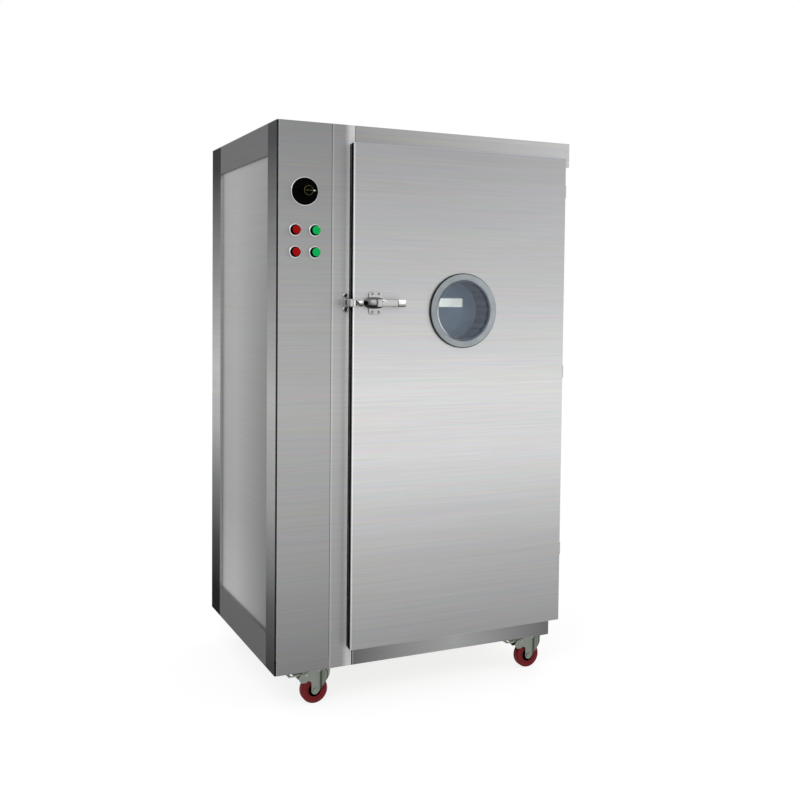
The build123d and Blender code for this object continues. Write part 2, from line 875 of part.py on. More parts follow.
# Door edge profile: the black thermal break between the two door skins
with BuildPart() as door_edge_profile:
    slab(
        (door_x + edge_recess, fold_y, door_z + edge_recess),
        (door_end_x - edge_recess, pan_y, door_top - edge_recess),
    )
    slab(
        (door_x + edge_profile_width, fold_y, door_z + edge_profile_width),
        (door_end_x - edge_profile_width, pan_y, door_top - edge_profile_width),
        Mode.SUBTRACT,
    )
    for y, z in door_leaf_screws:
        bar(
            (door_end_x - screw_length, y, z),
            (door_end_x, y, z),
            screw_hole_radius,
            Mode.SUBTRACT,
        )
save(door_edge_profile, "door_edge_profile")

# Door inner panel: a flange with a plug that stands into the chamber's mouth
plug_front = pan_y + liner_wall
with BuildPart() as door_inner_panel:
    slab(
        (door_x + edge_recess, pan_y, door_z + edge_recess),
        (door_end_x - edge_recess, plug_front, door_top - edge_recess),
    )
    slab((plug_x, pan_y, plug_z), (plug_end_x, plug_y, plug_top))
    slab(
        (plug_x + liner_wall, pan_y, plug_z + liner_wall),
        (plug_end_x - liner_wall, plug_y - liner_wall, plug_top - liner_wall),
        Mode.SUBTRACT,
    )
    bar(
        (window_x, plug_y - liner_wall, window_z),
        (window_x, plug_y, window_z),
        window_hole_radius,
        Mode.SUBTRACT,
    )
save(door_inner_panel, "door_inner_panel")

# Door insulation: fills both pans, bored for the porthole and the latch screws
with BuildPart() as door_insulation:
    slab(
        (door_x + skin, door_face + skin, door_z + skin),
        (door_end_x - skin, fold_y, door_top - skin),
    )
    slab(
        (door_x + edge_profile_width, fold_y, door_z + edge_profile_width),
        (door_end_x - edge_profile_width, pan_y, door_top - edge_profile_width),
    )
    slab(
        (plug_x + liner_wall, pan_y, plug_z + liner_wall),
        (plug_end_x - liner_wall, plug_y - liner_wall, plug_top - liner_wall),
    )
    bar(
        (window_x, door_face, window_z),
        (window_x, plug_y, window_z),
        window_hole_radius,
        Mode.SUBTRACT,
    )
    for x, z in foot_screws:
        bar((x, door_face, z), (x, door_face + 12, z), screw_hole_radius, Mode.SUBTRACT)
save(door_insulation, "door_insulation")

# Door gasket round the chamber's mouth
gasket_end = gasket_margin + gasket_lap
with BuildPart() as door_gasket:
    slab(
        (opening_x - gasket_end, plug_front, opening_z - gasket_end),
        (opening_end_x + gasket_end, front_y - gasket_gap, opening_top + gasket_end),
    )
    slab(
        (opening_x - gasket_margin, plug_front, opening_z - gasket_margin),
        (opening_end_x + gasket_margin, front_y - gasket_gap, opening_top + gasket_margin),
        Mode.SUBTRACT,
    )
save(door_gasket, "door_gasket")

# Porthole: a moulded outer ring, a sleeve with its own inner ring, and two panes
ring_face = door_face - ring_proud
outer_pane_y = ring_face + pane_setback
with BuildPart() as window_ring:
    bar((window_x, ring_face, window_z), (window_x, door_face, window_z), ring_outer_radius)
    bar(
        (window_x, ring_face, window_z),
        (window_x, door_face, window_z),
        ring_inner_radius,
        Mode.SUBTRACT,
    )
    fillet(
        window_ring.faces().sort_by(Axis.Y)[0].edges().sort_by(SortBy.LENGTH)[-1],
        radius=5,
    )
    fillet(
        window_ring.faces().filter_by(GeomType.PLANE).sort_by(Axis.Y)[0].edges()
        .sort_by(SortBy.LENGTH)[0],
        radius=2,
    )
save(window_ring, "window_ring")

inner_ring_y = plug_y + inner_ring_proud
with BuildPart() as window_sleeve:
    bar((window_x, door_face, window_z), (window_x, inner_ring_y, window_z), sleeve_radius)
    bar(
        (window_x, plug_y, window_z),
        (window_x, inner_ring_y, window_z),
        sleeve_radius + inner_ring_width,
    )
    bar(
        (window_x, door_face, window_z),
        (window_x, inner_ring_y, window_z),
        ring_inner_radius,
        Mode.SUBTRACT,
    )
    fillet(
        window_sleeve.faces().sort_by(Axis.Y)[-1].edges().sort_by(SortBy.LENGTH)[-1],
        radius=4,
    )
save(window_sleeve, "window_sleeve")

inner_pane_y = inner_ring_y - pane_setback
pane_radius = ring_inner_radius - pane_gap
with BuildPart() as window_panes:
    for y in (outer_pane_y, inner_pane_y - pane_thickness):
        bar((window_x, y, window_z), (window_x, y + pane_thickness, window_z), pane_radius)
save(window_panes, "window_panes")

# Latch housing: a foot with four screws under an egg-shaped body. The lever turns on a pin
# in the body's slot and the tongue's rod slides in a bore from its left end.
housing_x = pivot_x - housing_left_reach
housing_end_x = pivot_x + housing_right_reach
housing_face = door_face - housing_height
with BuildPart() as latch_housing:
    with BuildSketch(facing(door_face)):
        with Locations((foot_x, latch_z)):
            RectangleRounded(foot_width, foot_height, 10)
    extrude(amount=housing_foot)
    with BuildSketch(facing(door_face)) as housing_outline:
        with BuildLine():
            ThreePointArc(
                (pivot_x - 20, latch_z + housing_half_height),
                (housing_x, latch_z),
                (pivot_x - 20, latch_z - housing_half_height),
            )
            Polyline(
                (pivot_x - 20, latch_z - housing_half_height),
                (housing_end_x, latch_z - housing_half_height + 1.5),
                (housing_end_x, latch_z + housing_half_height - 1.5),
                (pivot_x - 20, latch_z + housing_half_height),
            )
        make_face()
    extrude(amount=housing_height)
    fillet(latch_housing.faces().sort_by(Axis.Y)[0].edges(), radius=housing_rounding)
    slab(
        (pivot_x - lever_hub_radius - lever_gap, housing_face, latch_z - lever_half_height - 0.4),
        (
            housing_end_x,
            pivot_y + lever_hub_radius + lever_gap,
            latch_z + lever_half_height + 0.4,
        ),
        Mode.SUBTRACT,
    )
    bar(
        (pivot_x, pivot_y, latch_z - lever_half_height - 3),
        (pivot_x, pivot_y, latch_z + lever_half_height + 3),
        lever_pin_radius,
    )
    bar(
        (housing_x, tongue_y, latch_z),
        (pivot_x - lever_hub_radius, tongue_y, latch_z),
        tongue_rod_radius + running_clearance,
        Mode.SUBTRACT,
    )
    for x, z in foot_screws:
        bar(
            (x, door_face - housing_foot, z),
            (x, door_face, z),
            screw_hole_radius,
            Mode.SUBTRACT,
        )
save(latch_housing, "latch_housing")

# Latch lever: a hub on the pin, a flat bar and a rounded grip at its end
grip_x = pivot_x + lever_length - lever_tip_length
with BuildPart() as latch_lever:
    with BuildSketch(Plane.XY.offset(latch_z - lever_half_height)):
        with Locations((pivot_x, pivot_y)):
            Circle(lever_hub_radius)
        with Locations((pivot_x + lever_length / 2 - 5, pivot_y)):
            Rectangle(lever_length - 10, lever_thickness)
    extrude(amount=2 * lever_half_height)
    with BuildSketch(Plane.YZ.offset(grip_x)):
        with Locations((pivot_y, latch_z)):
            RectangleRounded(lever_thickness + 6, 2 * lever_half_height + 2, 5)
    extrude(amount=lever_tip_length)
    fillet(latch_lever.faces().sort_by(Axis.X)[-1].edges(), radius=4)
    bar(
        (pivot_x, pivot_y, latch_z - lever_half_height),
        (pivot_x, pivot_y, latch_z + lever_half_height),
        lever_pin_radius + running_clearance,
        Mode.SUBTRACT,
    )
save(latch_lever, "latch_lever")

# Latch tongue: a rod with a barrel and an eye whose tip sits behind the keeper's roller
tongue_tip_x = keeper_x + keeper_post_width / 2 + keeper_post_gap
tongue_eye_x = tongue_tip_x + tongue_eye_half_width
barrel_end_x = housing_x - tongue_throw - tongue_end_gap
rod_end_x = pivot_x - lever_hub_radius - tongue_throw - tongue_end_gap
with BuildPart() as latch_tongue:
    bar((tongue_eye_x, tongue_y, latch_z), (rod_end_x, tongue_y, latch_z), tongue_rod_radius)
    bar(
        (barrel_end_x - tongue_barrel_length, tongue_y, latch_z),
        (barrel_end_x, tongue_y, latch_z),
        tongue_barrel_radius,
    )
    with BuildSketch(facing(tongue_y + tongue_rod_radius)):
        with Locations((tongue_eye_x, latch_z)):
            Polygon(
                (-tongue_eye_half_width, 0),
                (-tongue_eye_half_width / 3, -tongue_eye_half_height),
                (tongue_eye_half_width / 3, -tongue_eye_half_height),
                (tongue_eye_half_width, 0),
                (tongue_eye_half_width / 3, tongue_eye_half_height),
                (-tongue_eye_half_width / 3, tongue_eye_half_height),
            )
    extrude(amount=2 * tongue_rod_radius)
    bar(
        (tongue_eye_x, tongue_y - 2 * tongue_rod_radius, latch_z),
        (tongue_eye_x, tongue_y + 2 * tongue_rod_radius, latch_z),
        tongue_eye_bore,
        Mode.SUBTRACT,
    )
save(latch_tongue, "latch_tongue")

# Keeper on the stile: a lobed plate with a post and two ribs that hold an upright roller
# in front of the tongue's tip
keeper_front = front_y - keeper_plate_thickness
post_x = keeper_x - keeper_post_width / 2
post_end_x = keeper_x + keeper_post_width / 2
roller_x = post_end_x + keeper_roller_reach
roller_y = tongue_y - tongue_rod_radius - lever_gap - keeper_roller_radius
post_z = latch_z - keeper_post_half_height
post_top = latch_z + keeper_post_half_height
with BuildPart() as latch_keeper:
    with BuildSketch(facing(front_y)):
        with Locations((keeper_x, latch_z)):
            Rectangle(keeper_post_width + 2, keeper_screw_spread)
        with Locations(*keeper_screws):
            Circle(keeper_plate_width / 2)
    extrude(amount=keeper_plate_thickness)
    slab(
        (post_x, roller_y - keeper_roller_radius, post_z),
        (post_end_x, front_y, post_top),
    )
    for low in (post_z, post_top - keeper_rib_thickness):
        slab(
            (post_x, roller_y - keeper_roller_radius, low),
            (
                roller_x + keeper_roller_radius,
                roller_y + keeper_roller_radius,
                low + keeper_rib_thickness,
            ),
        )
    bar((roller_x, roller_y, post_z), (roller_x, roller_y, post_top), keeper_roller_radius)
    for x, z in keeper_screws:
        bar((x, keeper_front, z), (x, front_y, z), screw_hole_radius, Mode.SUBTRACT)
save(latch_keeper, "latch_keeper")

# Screws of one size: those in the body's sheets, and those in the door
with BuildPart() as body_screws:
    for x, z in keeper_screws:
        screw((x, keeper_front, z), (0, 1, 0))
    for y, z in frame_leaf_screws:
        screw((right_x + leaf_thickness, y, z), (-1, 0, 0))
    for x, z in back_screws:
        screw((x, back_y, z), (0, -1, 0))
save(body_screws, "body_screws")

with BuildPart() as door_screws:
    for x, z in foot_screws:
        screw((x, door_face - housing_foot, z), (0, 1, 0))
    for y, z in door_leaf_screws:
        screw((door_end_x + leaf_thickness, y, z), (-1, 0, 0))
save(door_screws, "door_screws")

# Rotary timer: the black dial plate and its case, one unit through the fascia
with BuildPart() as timer_unit:
    bar((dial_x, front_y - dial_thickness, dial_z), (dial_x, front_y, dial_z), dial_radius)
    fillet(timer_unit.faces().sort_by(Axis.Y)[0].edges(), radius=1.5)
    bar((dial_x, front_y, dial_z), (dial_x, front_y + timer_case_length, dial_z), timer_case_radius)
    bar(
        (dial_x, front_y - dial_thickness, dial_z),
        (dial_x, front_y + knob_stem_length + 2, dial_z),
        knob_stem_radius + running_clearance,
        Mode.SUBTRACT,
    )
save(timer_unit, "timer_unit")

# Timer knob with a pointer rib on its face
knob_back = front_y - dial_thickness - knob_gap
knob_front = knob_back - knob_height
with BuildPart() as timer_knob:
    with BuildSketch(facing(knob_back)):
        with Locations((dial_x, dial_z)):
            Circle(knob_radius)
    with BuildSketch(facing(knob_front)):
        with Locations((dial_x, dial_z)):
            Circle(knob_face_radius)
    loft()
    fillet(timer_knob.faces().sort_by(Axis.Y)[0].edges(), radius=2)
    slab(
        (dial_x + 3, knob_front - 2, dial_z - 1.5),
        (dial_x + knob_face_radius - 3, knob_front + 1, dial_z + 1.5),
    )
    bar((dial_x, knob_back, dial_z), (dial_x, front_y + knob_stem_length, dial_z), knob_stem_radius)
save(timer_knob, "timer_knob")

# Push buttons: bezel, threaded barrel and contact block as one body each, and four caps
block_y = front_y + barrel_length
with BuildPart() as button_bodies:
    for x, z in button_spots.values():
        bar((x, front_y - bezel_height, z), (x, front_y, z), bezel_radius)
        bar((x, front_y, z), (x, block_y, z), barrel_radius)
        slab(
            (x - contact_block / 2, block_y, z - contact_block / 2),
            (x + contact_block / 2, block_y + contact_length, z + contact_block / 2),
        )
        bar(
            (x, front_y - bezel_height, z),
            (x, front_y - bezel_height + 9, z),
            cap_radius + cap_gap,
            Mode.SUBTRACT,
        )
        bar(
            (x, front_y - bezel_height, z),
            (x, front_y + cap_stem_length + cap_travel + 1, z),
            cap_stem_radius + cap_gap,
            Mode.SUBTRACT,
        )
save(button_bodies, "button_bodies")

cap_back = front_y - bezel_height + 9 - cap_travel - cap_gap
for name, (x, z) in button_spots.items():
    with BuildPart() as button_cap:
        bar((x, front_y - cap_proud, z), (x, cap_back, z), cap_radius)
        fillet(button_cap.faces().sort_by(Axis.Y)[0].edges(), radius=2)
        bar((x, cap_back, z), (x, front_y + cap_stem_length, z), cap_stem_radius)
    save(button_cap, f"button_cap_{name}")

# Caster top plates: plate, upper race and riveted kingpin, all fixed under the base
race_z = base_z - caster_plate_thickness - race_height
crown_top = race_z - swivel_gap
crown_bottom = crown_top - crown_thickness
with BuildPart() as caster_plates:
    for x, y in caster_spots.values():
        with BuildSketch(Plane.XY.offset(base_z - caster_plate_thickness)):
            with Locations((x, y)):
                RectangleRounded(caster_plate_width, caster_plate_depth, 6)
        extrude(amount=caster_plate_thickness)
        bar((x, y, race_z), (x, y, base_z), race_radius)
        head_z = crown_bottom - swivel_gap - kingpin_head_height
        bar((x, y, head_z), (x, y, race_z), kingpin_radius)
        bar((x, y, head_z), (x, y, head_z + kingpin_head_height), kingpin_head_radius)
save(caster_plates, "caster_plates")

# Caster forks, wheels and brake pedals, each wheel trailing to the left of its swivel axis
axle_z = wheel_radius
cheek_y = wheel_half_width + cheek_gap
cheek_end_y = cheek_y + cheek_thickness
brake_z = axle_z + pedal_pivot_rise
foot_slope = cheek_foot_radius * 0.7071
for name, (x, y) in caster_spots.items():
    axle_x = x - caster_trail
    pedal_x = axle_x - pedal_pivot_back
    nose_x = x + crown_radius
    wrap_x = nose_x - cheek_end_y
    braked = name.startswith("front")
    brake_lobe = [
        (axle_x - 16, axle_z + 31),
        (axle_x - 24, axle_z + 35),
        (axle_x - 32, axle_z + 29),
        (axle_x - 46, axle_z + 29),
        (axle_x - 54, axle_z + 37),
        (axle_x - 57, axle_z + 46),
        (axle_x - 50, axle_z + 57),
        (axle_x - 8, crown_top),
    ]
    plain_back = [(axle_x - 18, crown_bottom), (axle_x - 18, crown_top)]
    with BuildPart() as caster_fork:
        with BuildSketch(facing(y + cheek_end_y)):
            with BuildLine():
                cheek_edge = Polyline(
                    (axle_x - cheek_foot_radius, axle_z),
                    (axle_x - cheek_foot_radius, axle_z + 26),
                    *(brake_lobe if braked else plain_back),
                    (nose_x, crown_top),
                    (nose_x - 1, axle_z + 54),
                    (nose_x - 8, axle_z + 41),
                    (axle_x + foot_slope, axle_z - foot_slope),
                )
                ThreePointArc(
                    cheek_edge @ 1,
                    (axle_x - foot_slope, axle_z - foot_slope),
                    cheek_edge @ 0,
                )
            make_face()
        extrude(amount=2 * cheek_end_y)
        for half_width, height, mode in (
            (cheek_end_y, crown_top, Mode.INTERSECT),
            (cheek_y, crown_bottom, Mode.SUBTRACT),
        ):
            with BuildSketch():
                with Locations((wrap_x, y)):
                    Circle(half_width)
                with Locations((wrap_x, y)):
                    Rectangle(
                        2 * pedal_reach + caster_trail,
                        2 * half_width,
                        align=(Align.MAX, Align.CENTER),
                    )
            extrude(amount=height, mode=mode)
        bar((x, y, crown_bottom), (x, y, crown_top), crown_radius)
        bar(
            (x, y, crown_bottom),
            (x, y, crown_top),
            kingpin_radius + running_clearance,
            Mode.SUBTRACT,
        )
        bar((axle_x, y - cheek_end_y, axle_z), (axle_x, y + cheek_end_y, axle_z), axle_radius)
        for side in (-1, 1):
            bar(
                (axle_x, y + side * cheek_end_y, axle_z),
                (axle_x, y + side * (cheek_end_y + axle_head_height), axle_z),
                axle_head_radius,
            )
        if braked:
            bar(
                (pedal_x, y - cheek_end_y, brake_z),
                (pedal_x, y + cheek_end_y, brake_z),
                pedal_pin_radius + running_clearance,
                Mode.SUBTRACT,
            )
    save(caster_fork, f"caster_fork_{name}")

    with BuildPart() as caster_core:
        bar((axle_x, y - core_half_width, axle_z), (axle_x, y + core_half_width, axle_z), tyre_bore)
        bar((axle_x, y - hub_half_width, axle_z), (axle_x, y + hub_half_width, axle_z), hub_radius)
        bar(
            (axle_x, y - hub_half_width, axle_z),
            (axle_x, y + hub_half_width, axle_z),
            axle_radius + running_clearance,
            Mode.SUBTRACT,
        )
    save(caster_core, f"caster_core_{name}")

    with BuildPart() as caster_tyre:
        bar(
            (axle_x, y - wheel_half_width, axle_z),
            (axle_x, y + wheel_half_width, axle_z),
            wheel_radius,
        )
        fillet(caster_tyre.edges().filter_by(GeomType.CIRCLE), radius=5)
        bar(
            (axle_x, y - wheel_half_width, axle_z),
            (axle_x, y + wheel_half_width, axle_z),
            tyre_bore,
            Mode.SUBTRACT,
        )
    save(caster_tyre, f"caster_tyre_{name}")

    # The brake pedal's cam, turned down by the pedal's travel, stops just short of the tread
    if braked:
        to_wheel = Vector(pedal_pivot_back, -pedal_pivot_rise)
        cam_reach = to_wheel.length - wheel_radius - brake_gap - pedal_cam_tip
        cam = to_wheel.normalized().rotate(Axis.Z, -pedal_swing_angle) * cam_reach
        with BuildPart() as caster_pedal:
            with BuildSketch(facing(y + pedal_half_width)):
                with Locations((pedal_x, brake_z)):
                    Circle(pedal_hub_radius)
                with Locations((pedal_x + cam.X, brake_z + cam.Y)):
                    Circle(pedal_cam_tip)
                make_hull()
            extrude(amount=2 * pedal_half_width)
            bar(
                (pedal_x, y - cheek_end_y - 2, brake_z),
                (pedal_x, y + cheek_end_y + 2, brake_z),
                pedal_pin_radius,
            )
            slab(
                (pedal_x - pedal_reach, y - pedal_half_width, brake_z),
                (pedal_x, y + pedal_half_width, brake_z + pedal_thickness),
            )
            slab(
                (pedal_x - pedal_reach, y - pedal_plate_half_width, brake_z),
                (pedal_x - pedal_neck, y + pedal_plate_half_width, brake_z + pedal_thickness),
            )
            with BuildSketch(Plane.XY.offset(brake_z)):
                with Locations((pedal_x - (pedal_reach + pedal_neck) / 2, y)):
                    SlotOverall(pedal_plate_half_width * 1.4, 8, rotation=90)
            extrude(amount=pedal_thickness, mode=Mode.SUBTRACT)
        save(caster_pedal, f"caster_pedal_{name}")
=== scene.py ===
import math

import bmesh
import bpy
from mathutils import Matrix, Vector


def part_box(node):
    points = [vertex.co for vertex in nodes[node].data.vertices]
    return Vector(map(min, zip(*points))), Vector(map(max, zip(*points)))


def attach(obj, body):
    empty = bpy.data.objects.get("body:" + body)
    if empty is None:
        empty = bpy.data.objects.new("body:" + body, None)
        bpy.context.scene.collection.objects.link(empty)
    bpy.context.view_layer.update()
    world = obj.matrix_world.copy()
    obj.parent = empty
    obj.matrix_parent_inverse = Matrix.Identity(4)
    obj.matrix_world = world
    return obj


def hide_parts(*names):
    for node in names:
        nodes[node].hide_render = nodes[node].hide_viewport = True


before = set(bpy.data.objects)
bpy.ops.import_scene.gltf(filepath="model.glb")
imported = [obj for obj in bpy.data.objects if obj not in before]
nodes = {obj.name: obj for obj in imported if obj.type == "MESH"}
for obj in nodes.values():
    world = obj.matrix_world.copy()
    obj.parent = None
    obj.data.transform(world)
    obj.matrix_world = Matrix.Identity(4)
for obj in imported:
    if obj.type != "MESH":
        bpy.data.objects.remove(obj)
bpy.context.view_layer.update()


# Base frame: a welded ring of folded steel channels, galvanised after welding. It carries
# the walls from below, and the caster plates are bolted under its corners.
def srgb(code):
    """A hex colour as the linear colour that a shader takes."""
    parts = [int(code[i:i + 2], 16) / 255 for i in (1, 3, 5)]
    return [p / 12.92 if p <= 0.04045 else ((p + 0.055) / 1.055) ** 2.4 for p in parts] + [1.0]


def add(tree, kind, sockets=None, stops=None, **settings):
    """Adds a node, sets it, then fills or links its inputs. A node that is given as an input
    stands for its first output. Stops are a ramp's (place, hex) pairs. A kind without the word
    Node in it is one of the shader nodes."""
    made = tree.nodes.new(kind if "Node" in kind else f"ShaderNode{kind}")
    for key, value in settings.items():
        setattr(made, key, value)
    if stops:
        band = made.color_ramp.elements
        band[0].position, band[0].color = stops[0][0], srgb(stops[0][1])
        band[1].position, band[1].color = stops[-1][0], srgb(stops[-1][1])
        for place, code in stops[1:-1]:
            band.new(place).color = srgb(code)
    for key, value in (sockets or {}).items():
        if isinstance(value, bpy.types.Node):
            value = value.outputs[0]
        if isinstance(value, bpy.types.NodeSocket):
            tree.links.new(value, made.inputs[key])
        else:
            made.inputs[key].default_value = value
    return made


def emptied(holder):
    """The node tree of a material or a world, with nothing in it yet."""
    holder.use_nodes = True
    holder.node_tree.nodes.clear()
    return holder.node_tree


def finish(name, recipe):
    """A material: the recipe adds its pattern and gives what the shader's sockets take."""
    material = bpy.data.materials.new(name)
    tree = emptied(material)
    where = add(tree, "TexCoord").outputs["Object"]
    shader = add(tree, "BsdfPrincipled", recipe(tree, where))
    add(tree, "OutputMaterial", {"Surface": shader})
    return material


def dress(material, *names):
    """Gives CAD nodes their finish."""
    for name in names:
        nodes[name].data.materials.clear()
        nodes[name].data.materials.append(material)


def galvanising(tree, where):
    # Zinc crystals of about 12 mm, each a little lighter or darker than its neighbours
    crystal = add(tree, "TexVoronoi", {"Vector": where, "Scale": 83.0})
    grey = add(tree, "RGBToBW", {"Color": crystal.outputs["Color"]})
    tint = add(tree, "ValToRGB", {"Fac": grey},
               stops=[(0.2, "#83888a"), (0.6, "#9a9fa1"), (0.9, "#b0b4b5")])
    # Painted shade: the front left end, seen at the bottom of the groove in the front, is darkened to near
    # black
    place = add(tree, "SeparateXYZ", {"Vector": where})
    painted_light_mask = add(tree, "MapRange", {
        "Value": place.outputs["X"], "From Min": -0.5335, "From Max": -0.5325, "To Min": 0.03})
    colour = add(tree, "VectorMath", {0: tint, "Scale": painted_light_mask}, operation="SCALE")
    rough = add(tree, "MapRange", {"Value": grey, "To Min": 0.38, "To Max": 0.6})
    return {"Base Color": colour, "Metallic": 0.9, "Roughness": rough}


dress(finish("galvanised_steel", galvanising), "base_frame")


# Outer walls: folded sheets of stainless steel, 1.5 mm thick, brushed with a belt so that the
# grain lies level. They are screwed to the base frame and to each other behind the seams.
def toned(tree, measure, low, high, stops):
    """A ramp of colours along a measure, whose stops run from low to high."""
    along = add(tree, "MapRange", {"Value": measure, "From Min": low, "From Max": high})
    return add(tree, "ValToRGB", {"Fac": along}, stops=stops)


def faced(tree):
    """How far a surface faces along each axis, from -1 to 1."""
    normal = add(tree, "TexCoord").outputs["Normal"]
    return add(tree, "SeparateXYZ", {"Vector": normal}).outputs


def brushed(name, tones, painted_zones=(), painted_sweep=None, fold_highlight=None, graze="#ffffff", rubbed=None):
    """Belt-brushed stainless: level grain in the sheet's plane, its grey set by height as a painted
    reflection.
    Painted zones take over the tones along an axis, a painted sweep of light and shade multiplies them, a
    fold highlight paints the colour of its edges, and where X goes through the rubbed places the sheet turns
    matt."""
    def recipe(tree, where):
        # Grain lines are drawn 2 to 5 mm wide, coarser than the real 0.2 mm, so that they show
        facing = faced(tree)
        steep = add(tree, "Math", {0: facing["Z"]}, operation="ABSOLUTE")
        lying = add(tree, "Math", {0: steep, 1: 0.5}, operation="GREATER_THAN")
        upright = add(tree, "VectorMath", {0: where, 1: (4.0, 4.0, 380.0)}, operation="MULTIPLY")
        flat = add(tree, "VectorMath", {0: where, 1: (4.0, 380.0, 4.0)}, operation="MULTIPLY")
        grain_at = add(tree, "Mix", {"Factor": lying, 4: upright, 5: flat}, data_type="VECTOR")
        fine = add(tree, "TexNoise", {
            "Vector": grain_at.outputs[1], "Scale": 1.0, "Detail": 3.0, "Roughness": 0.65})
        broad_at = add(tree, "VectorMath", {0: grain_at.outputs[1], "Scale": 0.36}, operation="SCALE")
        broad = add(tree, "TexNoise", {"Vector": broad_at, "Scale": 1.0, "Detail": 2.0})
        place = add(tree, "SeparateXYZ", {"Vector": where})

        def banded(axis, painted_light_bands):
            low, high = painted_light_bands[0][0], painted_light_bands[-1][0]
            return toned(tree, place.outputs[axis], low, high, [
                ((spot - low) / (high - low), code) for spot, code in painted_light_bands])

        # Painted reflection: the grey set by height, with painted zones over it
        tone_with_painted_light = banded("Z", tones)
        for axis, near, far, others in painted_zones:
            share = add(tree, "MapRange", {"Value": place.outputs[axis], "From Min": near, "From Max": far})
            tone_with_painted_light = add(tree, "Mix", {
                "Factor": share, 6: tone_with_painted_light, 7: banded("Z", others)}, data_type="RGBA").outputs[2]
        # Painted highlight along the bends
        if fold_highlight:
            side = add(tree, "Math", {0: facing[fold_highlight[0]]}, operation="ABSOLUTE")
            fold_highlight_faces = add(tree, "Math", {0: side, 1: 0.8}, operation="LESS_THAN")
            tone_with_painted_light = add(tree, "Mix", {
                "Factor": fold_highlight_faces, 6: tone_with_painted_light, 7: srgb(fold_highlight[1])}, data_type="RGBA").outputs[2]
        # Painted light and shade swept along an axis
        if painted_sweep:
            tone_with_painted_light = add(tree, "VectorMath", {0: tone_with_painted_light, 1: banded(*painted_sweep)}, operation="MULTIPLY")
        lines = add(tree, "MapRange", {"Value": fine, "To Min": 0.86, "To Max": 1.14})
        hues = add(tree, "Mix", {
            "Factor": 0.1, 6: (0.5, 0.5, 0.5, 1.0), 7: broad.outputs["Color"]}, data_type="RGBA")
        shade = add(tree, "VectorMath", {0: hues.outputs[2], "Scale": 2.0}, operation="SCALE")
        lit = add(tree, "VectorMath", {0: tone_with_painted_light, "Scale": lines}, operation="SCALE")
        colour = add(tree, "VectorMath", {0: lit, 1: shade}, operation="MULTIPLY")
        dull = add(tree, "MapRange", {"Value": fine, "To Min": 0.33, "To Max": 0.47})
        relief = add(tree, "Bump", {"Height": fine, "Strength": 0.12, "Distance": 0.0003})
        shiny = 1.0
        if rubbed:
            shiny = add(tree, "MapRange", {
                "Value": place.outputs["X"], "From Min": rubbed[0], "From Max": rubbed[1],
                "To Min": 1.0, "To Max": 0.15})
        return {"Base Color": colour, "Metallic": shiny, "Roughness": dull, "Normal": relief,
                "Specular Tint": srgb(graze)}
    return finish(name, recipe)


# The column's front sheet is mid grey, with a painted reflection lightest at half its height, a painted
# highlight on its corner bend, and painted shade in the groove at its left, by the corner
dress(brushed("brushed_steel_column", [
    (0.124, "#7c7c7c"), (0.505, "#999999"), (0.980, "#ababab"), (1.300, "#a4a4a4"), (1.874, "#888989")],
    fold_highlight=("Y", "#dcdcdc"), painted_sweep=("Y", [(-0.3690, "#ffffff"), (-0.3672, "#ffffff"), (-0.3662, "#1c1c1c"),
                                        (-0.3570, "#0c0c0c")])), "control_fascia")
# The stile has painted light along both of its edges, and is matt where the door's seal rubs
dress(brushed("brushed_steel_stile", [
    (0.124, "#9a9a9a"), (0.505, "#afafaf"), (0.980, "#c4c4c4"), (1.300, "#bfbfbf"), (1.874, "#9b9b9c")],
    painted_zones=[("X", -0.312, -0.297, [
        (0.124, "#c4c4c4"), (0.505, "#dedede"), (1.300, "#ffffff"), (1.874, "#c8c8c8")])],
    painted_sweep=("X", [(-0.3565, "#ffffff"), (-0.3520, "#fafafa"), (-0.3490, "#e8e8e8"), (-0.3180, "#e8e8e8"),
                 (-0.2850, "#ffffff")]), rubbed=(-0.318, -0.306)), "door_stile")
# The left side's frame: its front and back strips carry a painted reflection, darker towards the floor and
# the top, the rails between them are even, its bends carry a painted highlight, and its front edge painted
# shade as in the groove beside it
dress(brushed("brushed_steel_side_frame", [
    (0.124, "#464648"), (0.327, "#676767"), (0.679, "#b2b2b2"), (0.998, "#c9c9c9"), (1.378, "#a5a5a5"),
    (1.817, "#5c5c5f")],
    painted_zones=[("Y", -0.2755, -0.2745, [(0.124, "#757575"), (1.874, "#868686")]),
           ("Y", 0.2985, 0.2995, [
               (0.205, "#0c0c0c"), (0.409, "#515151"), (0.620, "#8e8e8e"), (0.850, "#cacaca"),
               (1.050, "#dddddd"), (1.403, "#a8a8a8"), (1.797, "#464647")])],
    fold_highlight=("X", "#b0b0b0"), graze="#aeaeae",
    painted_sweep=("Y", [(-0.3675, "#181818"), (-0.3668, "#181818"), (-0.3650, "#ffffff"), (0.4170, "#ffffff")])),
    "left_side_frame")
# Painted shade: the inset panel darkens towards the cabinet's front and the floor
dress(brushed("brushed_steel_inset", [
    (0.234, "#5c5c5c"), (0.550, "#656565"), (1.150, "#797979"), (1.774, "#8f8f8f")],
    painted_zones=[("Y", -0.27, 0.10, [
        (0.234, "#a4a4a4"), (0.550, "#979797"), (1.150, "#a3a3a3"), (1.774, "#a1a1a1")])]), "left_side_panel")
# Painted reflection: the right side and the back are lightest at mid height
dress(brushed("brushed_steel_rear", [
    (0.124, "#7d7d7d"), (0.500, "#969696"), (1.000, "#a9a9a9"), (1.500, "#999999"), (1.874, "#868787")]),
    "right_side_panel", "back_panel")
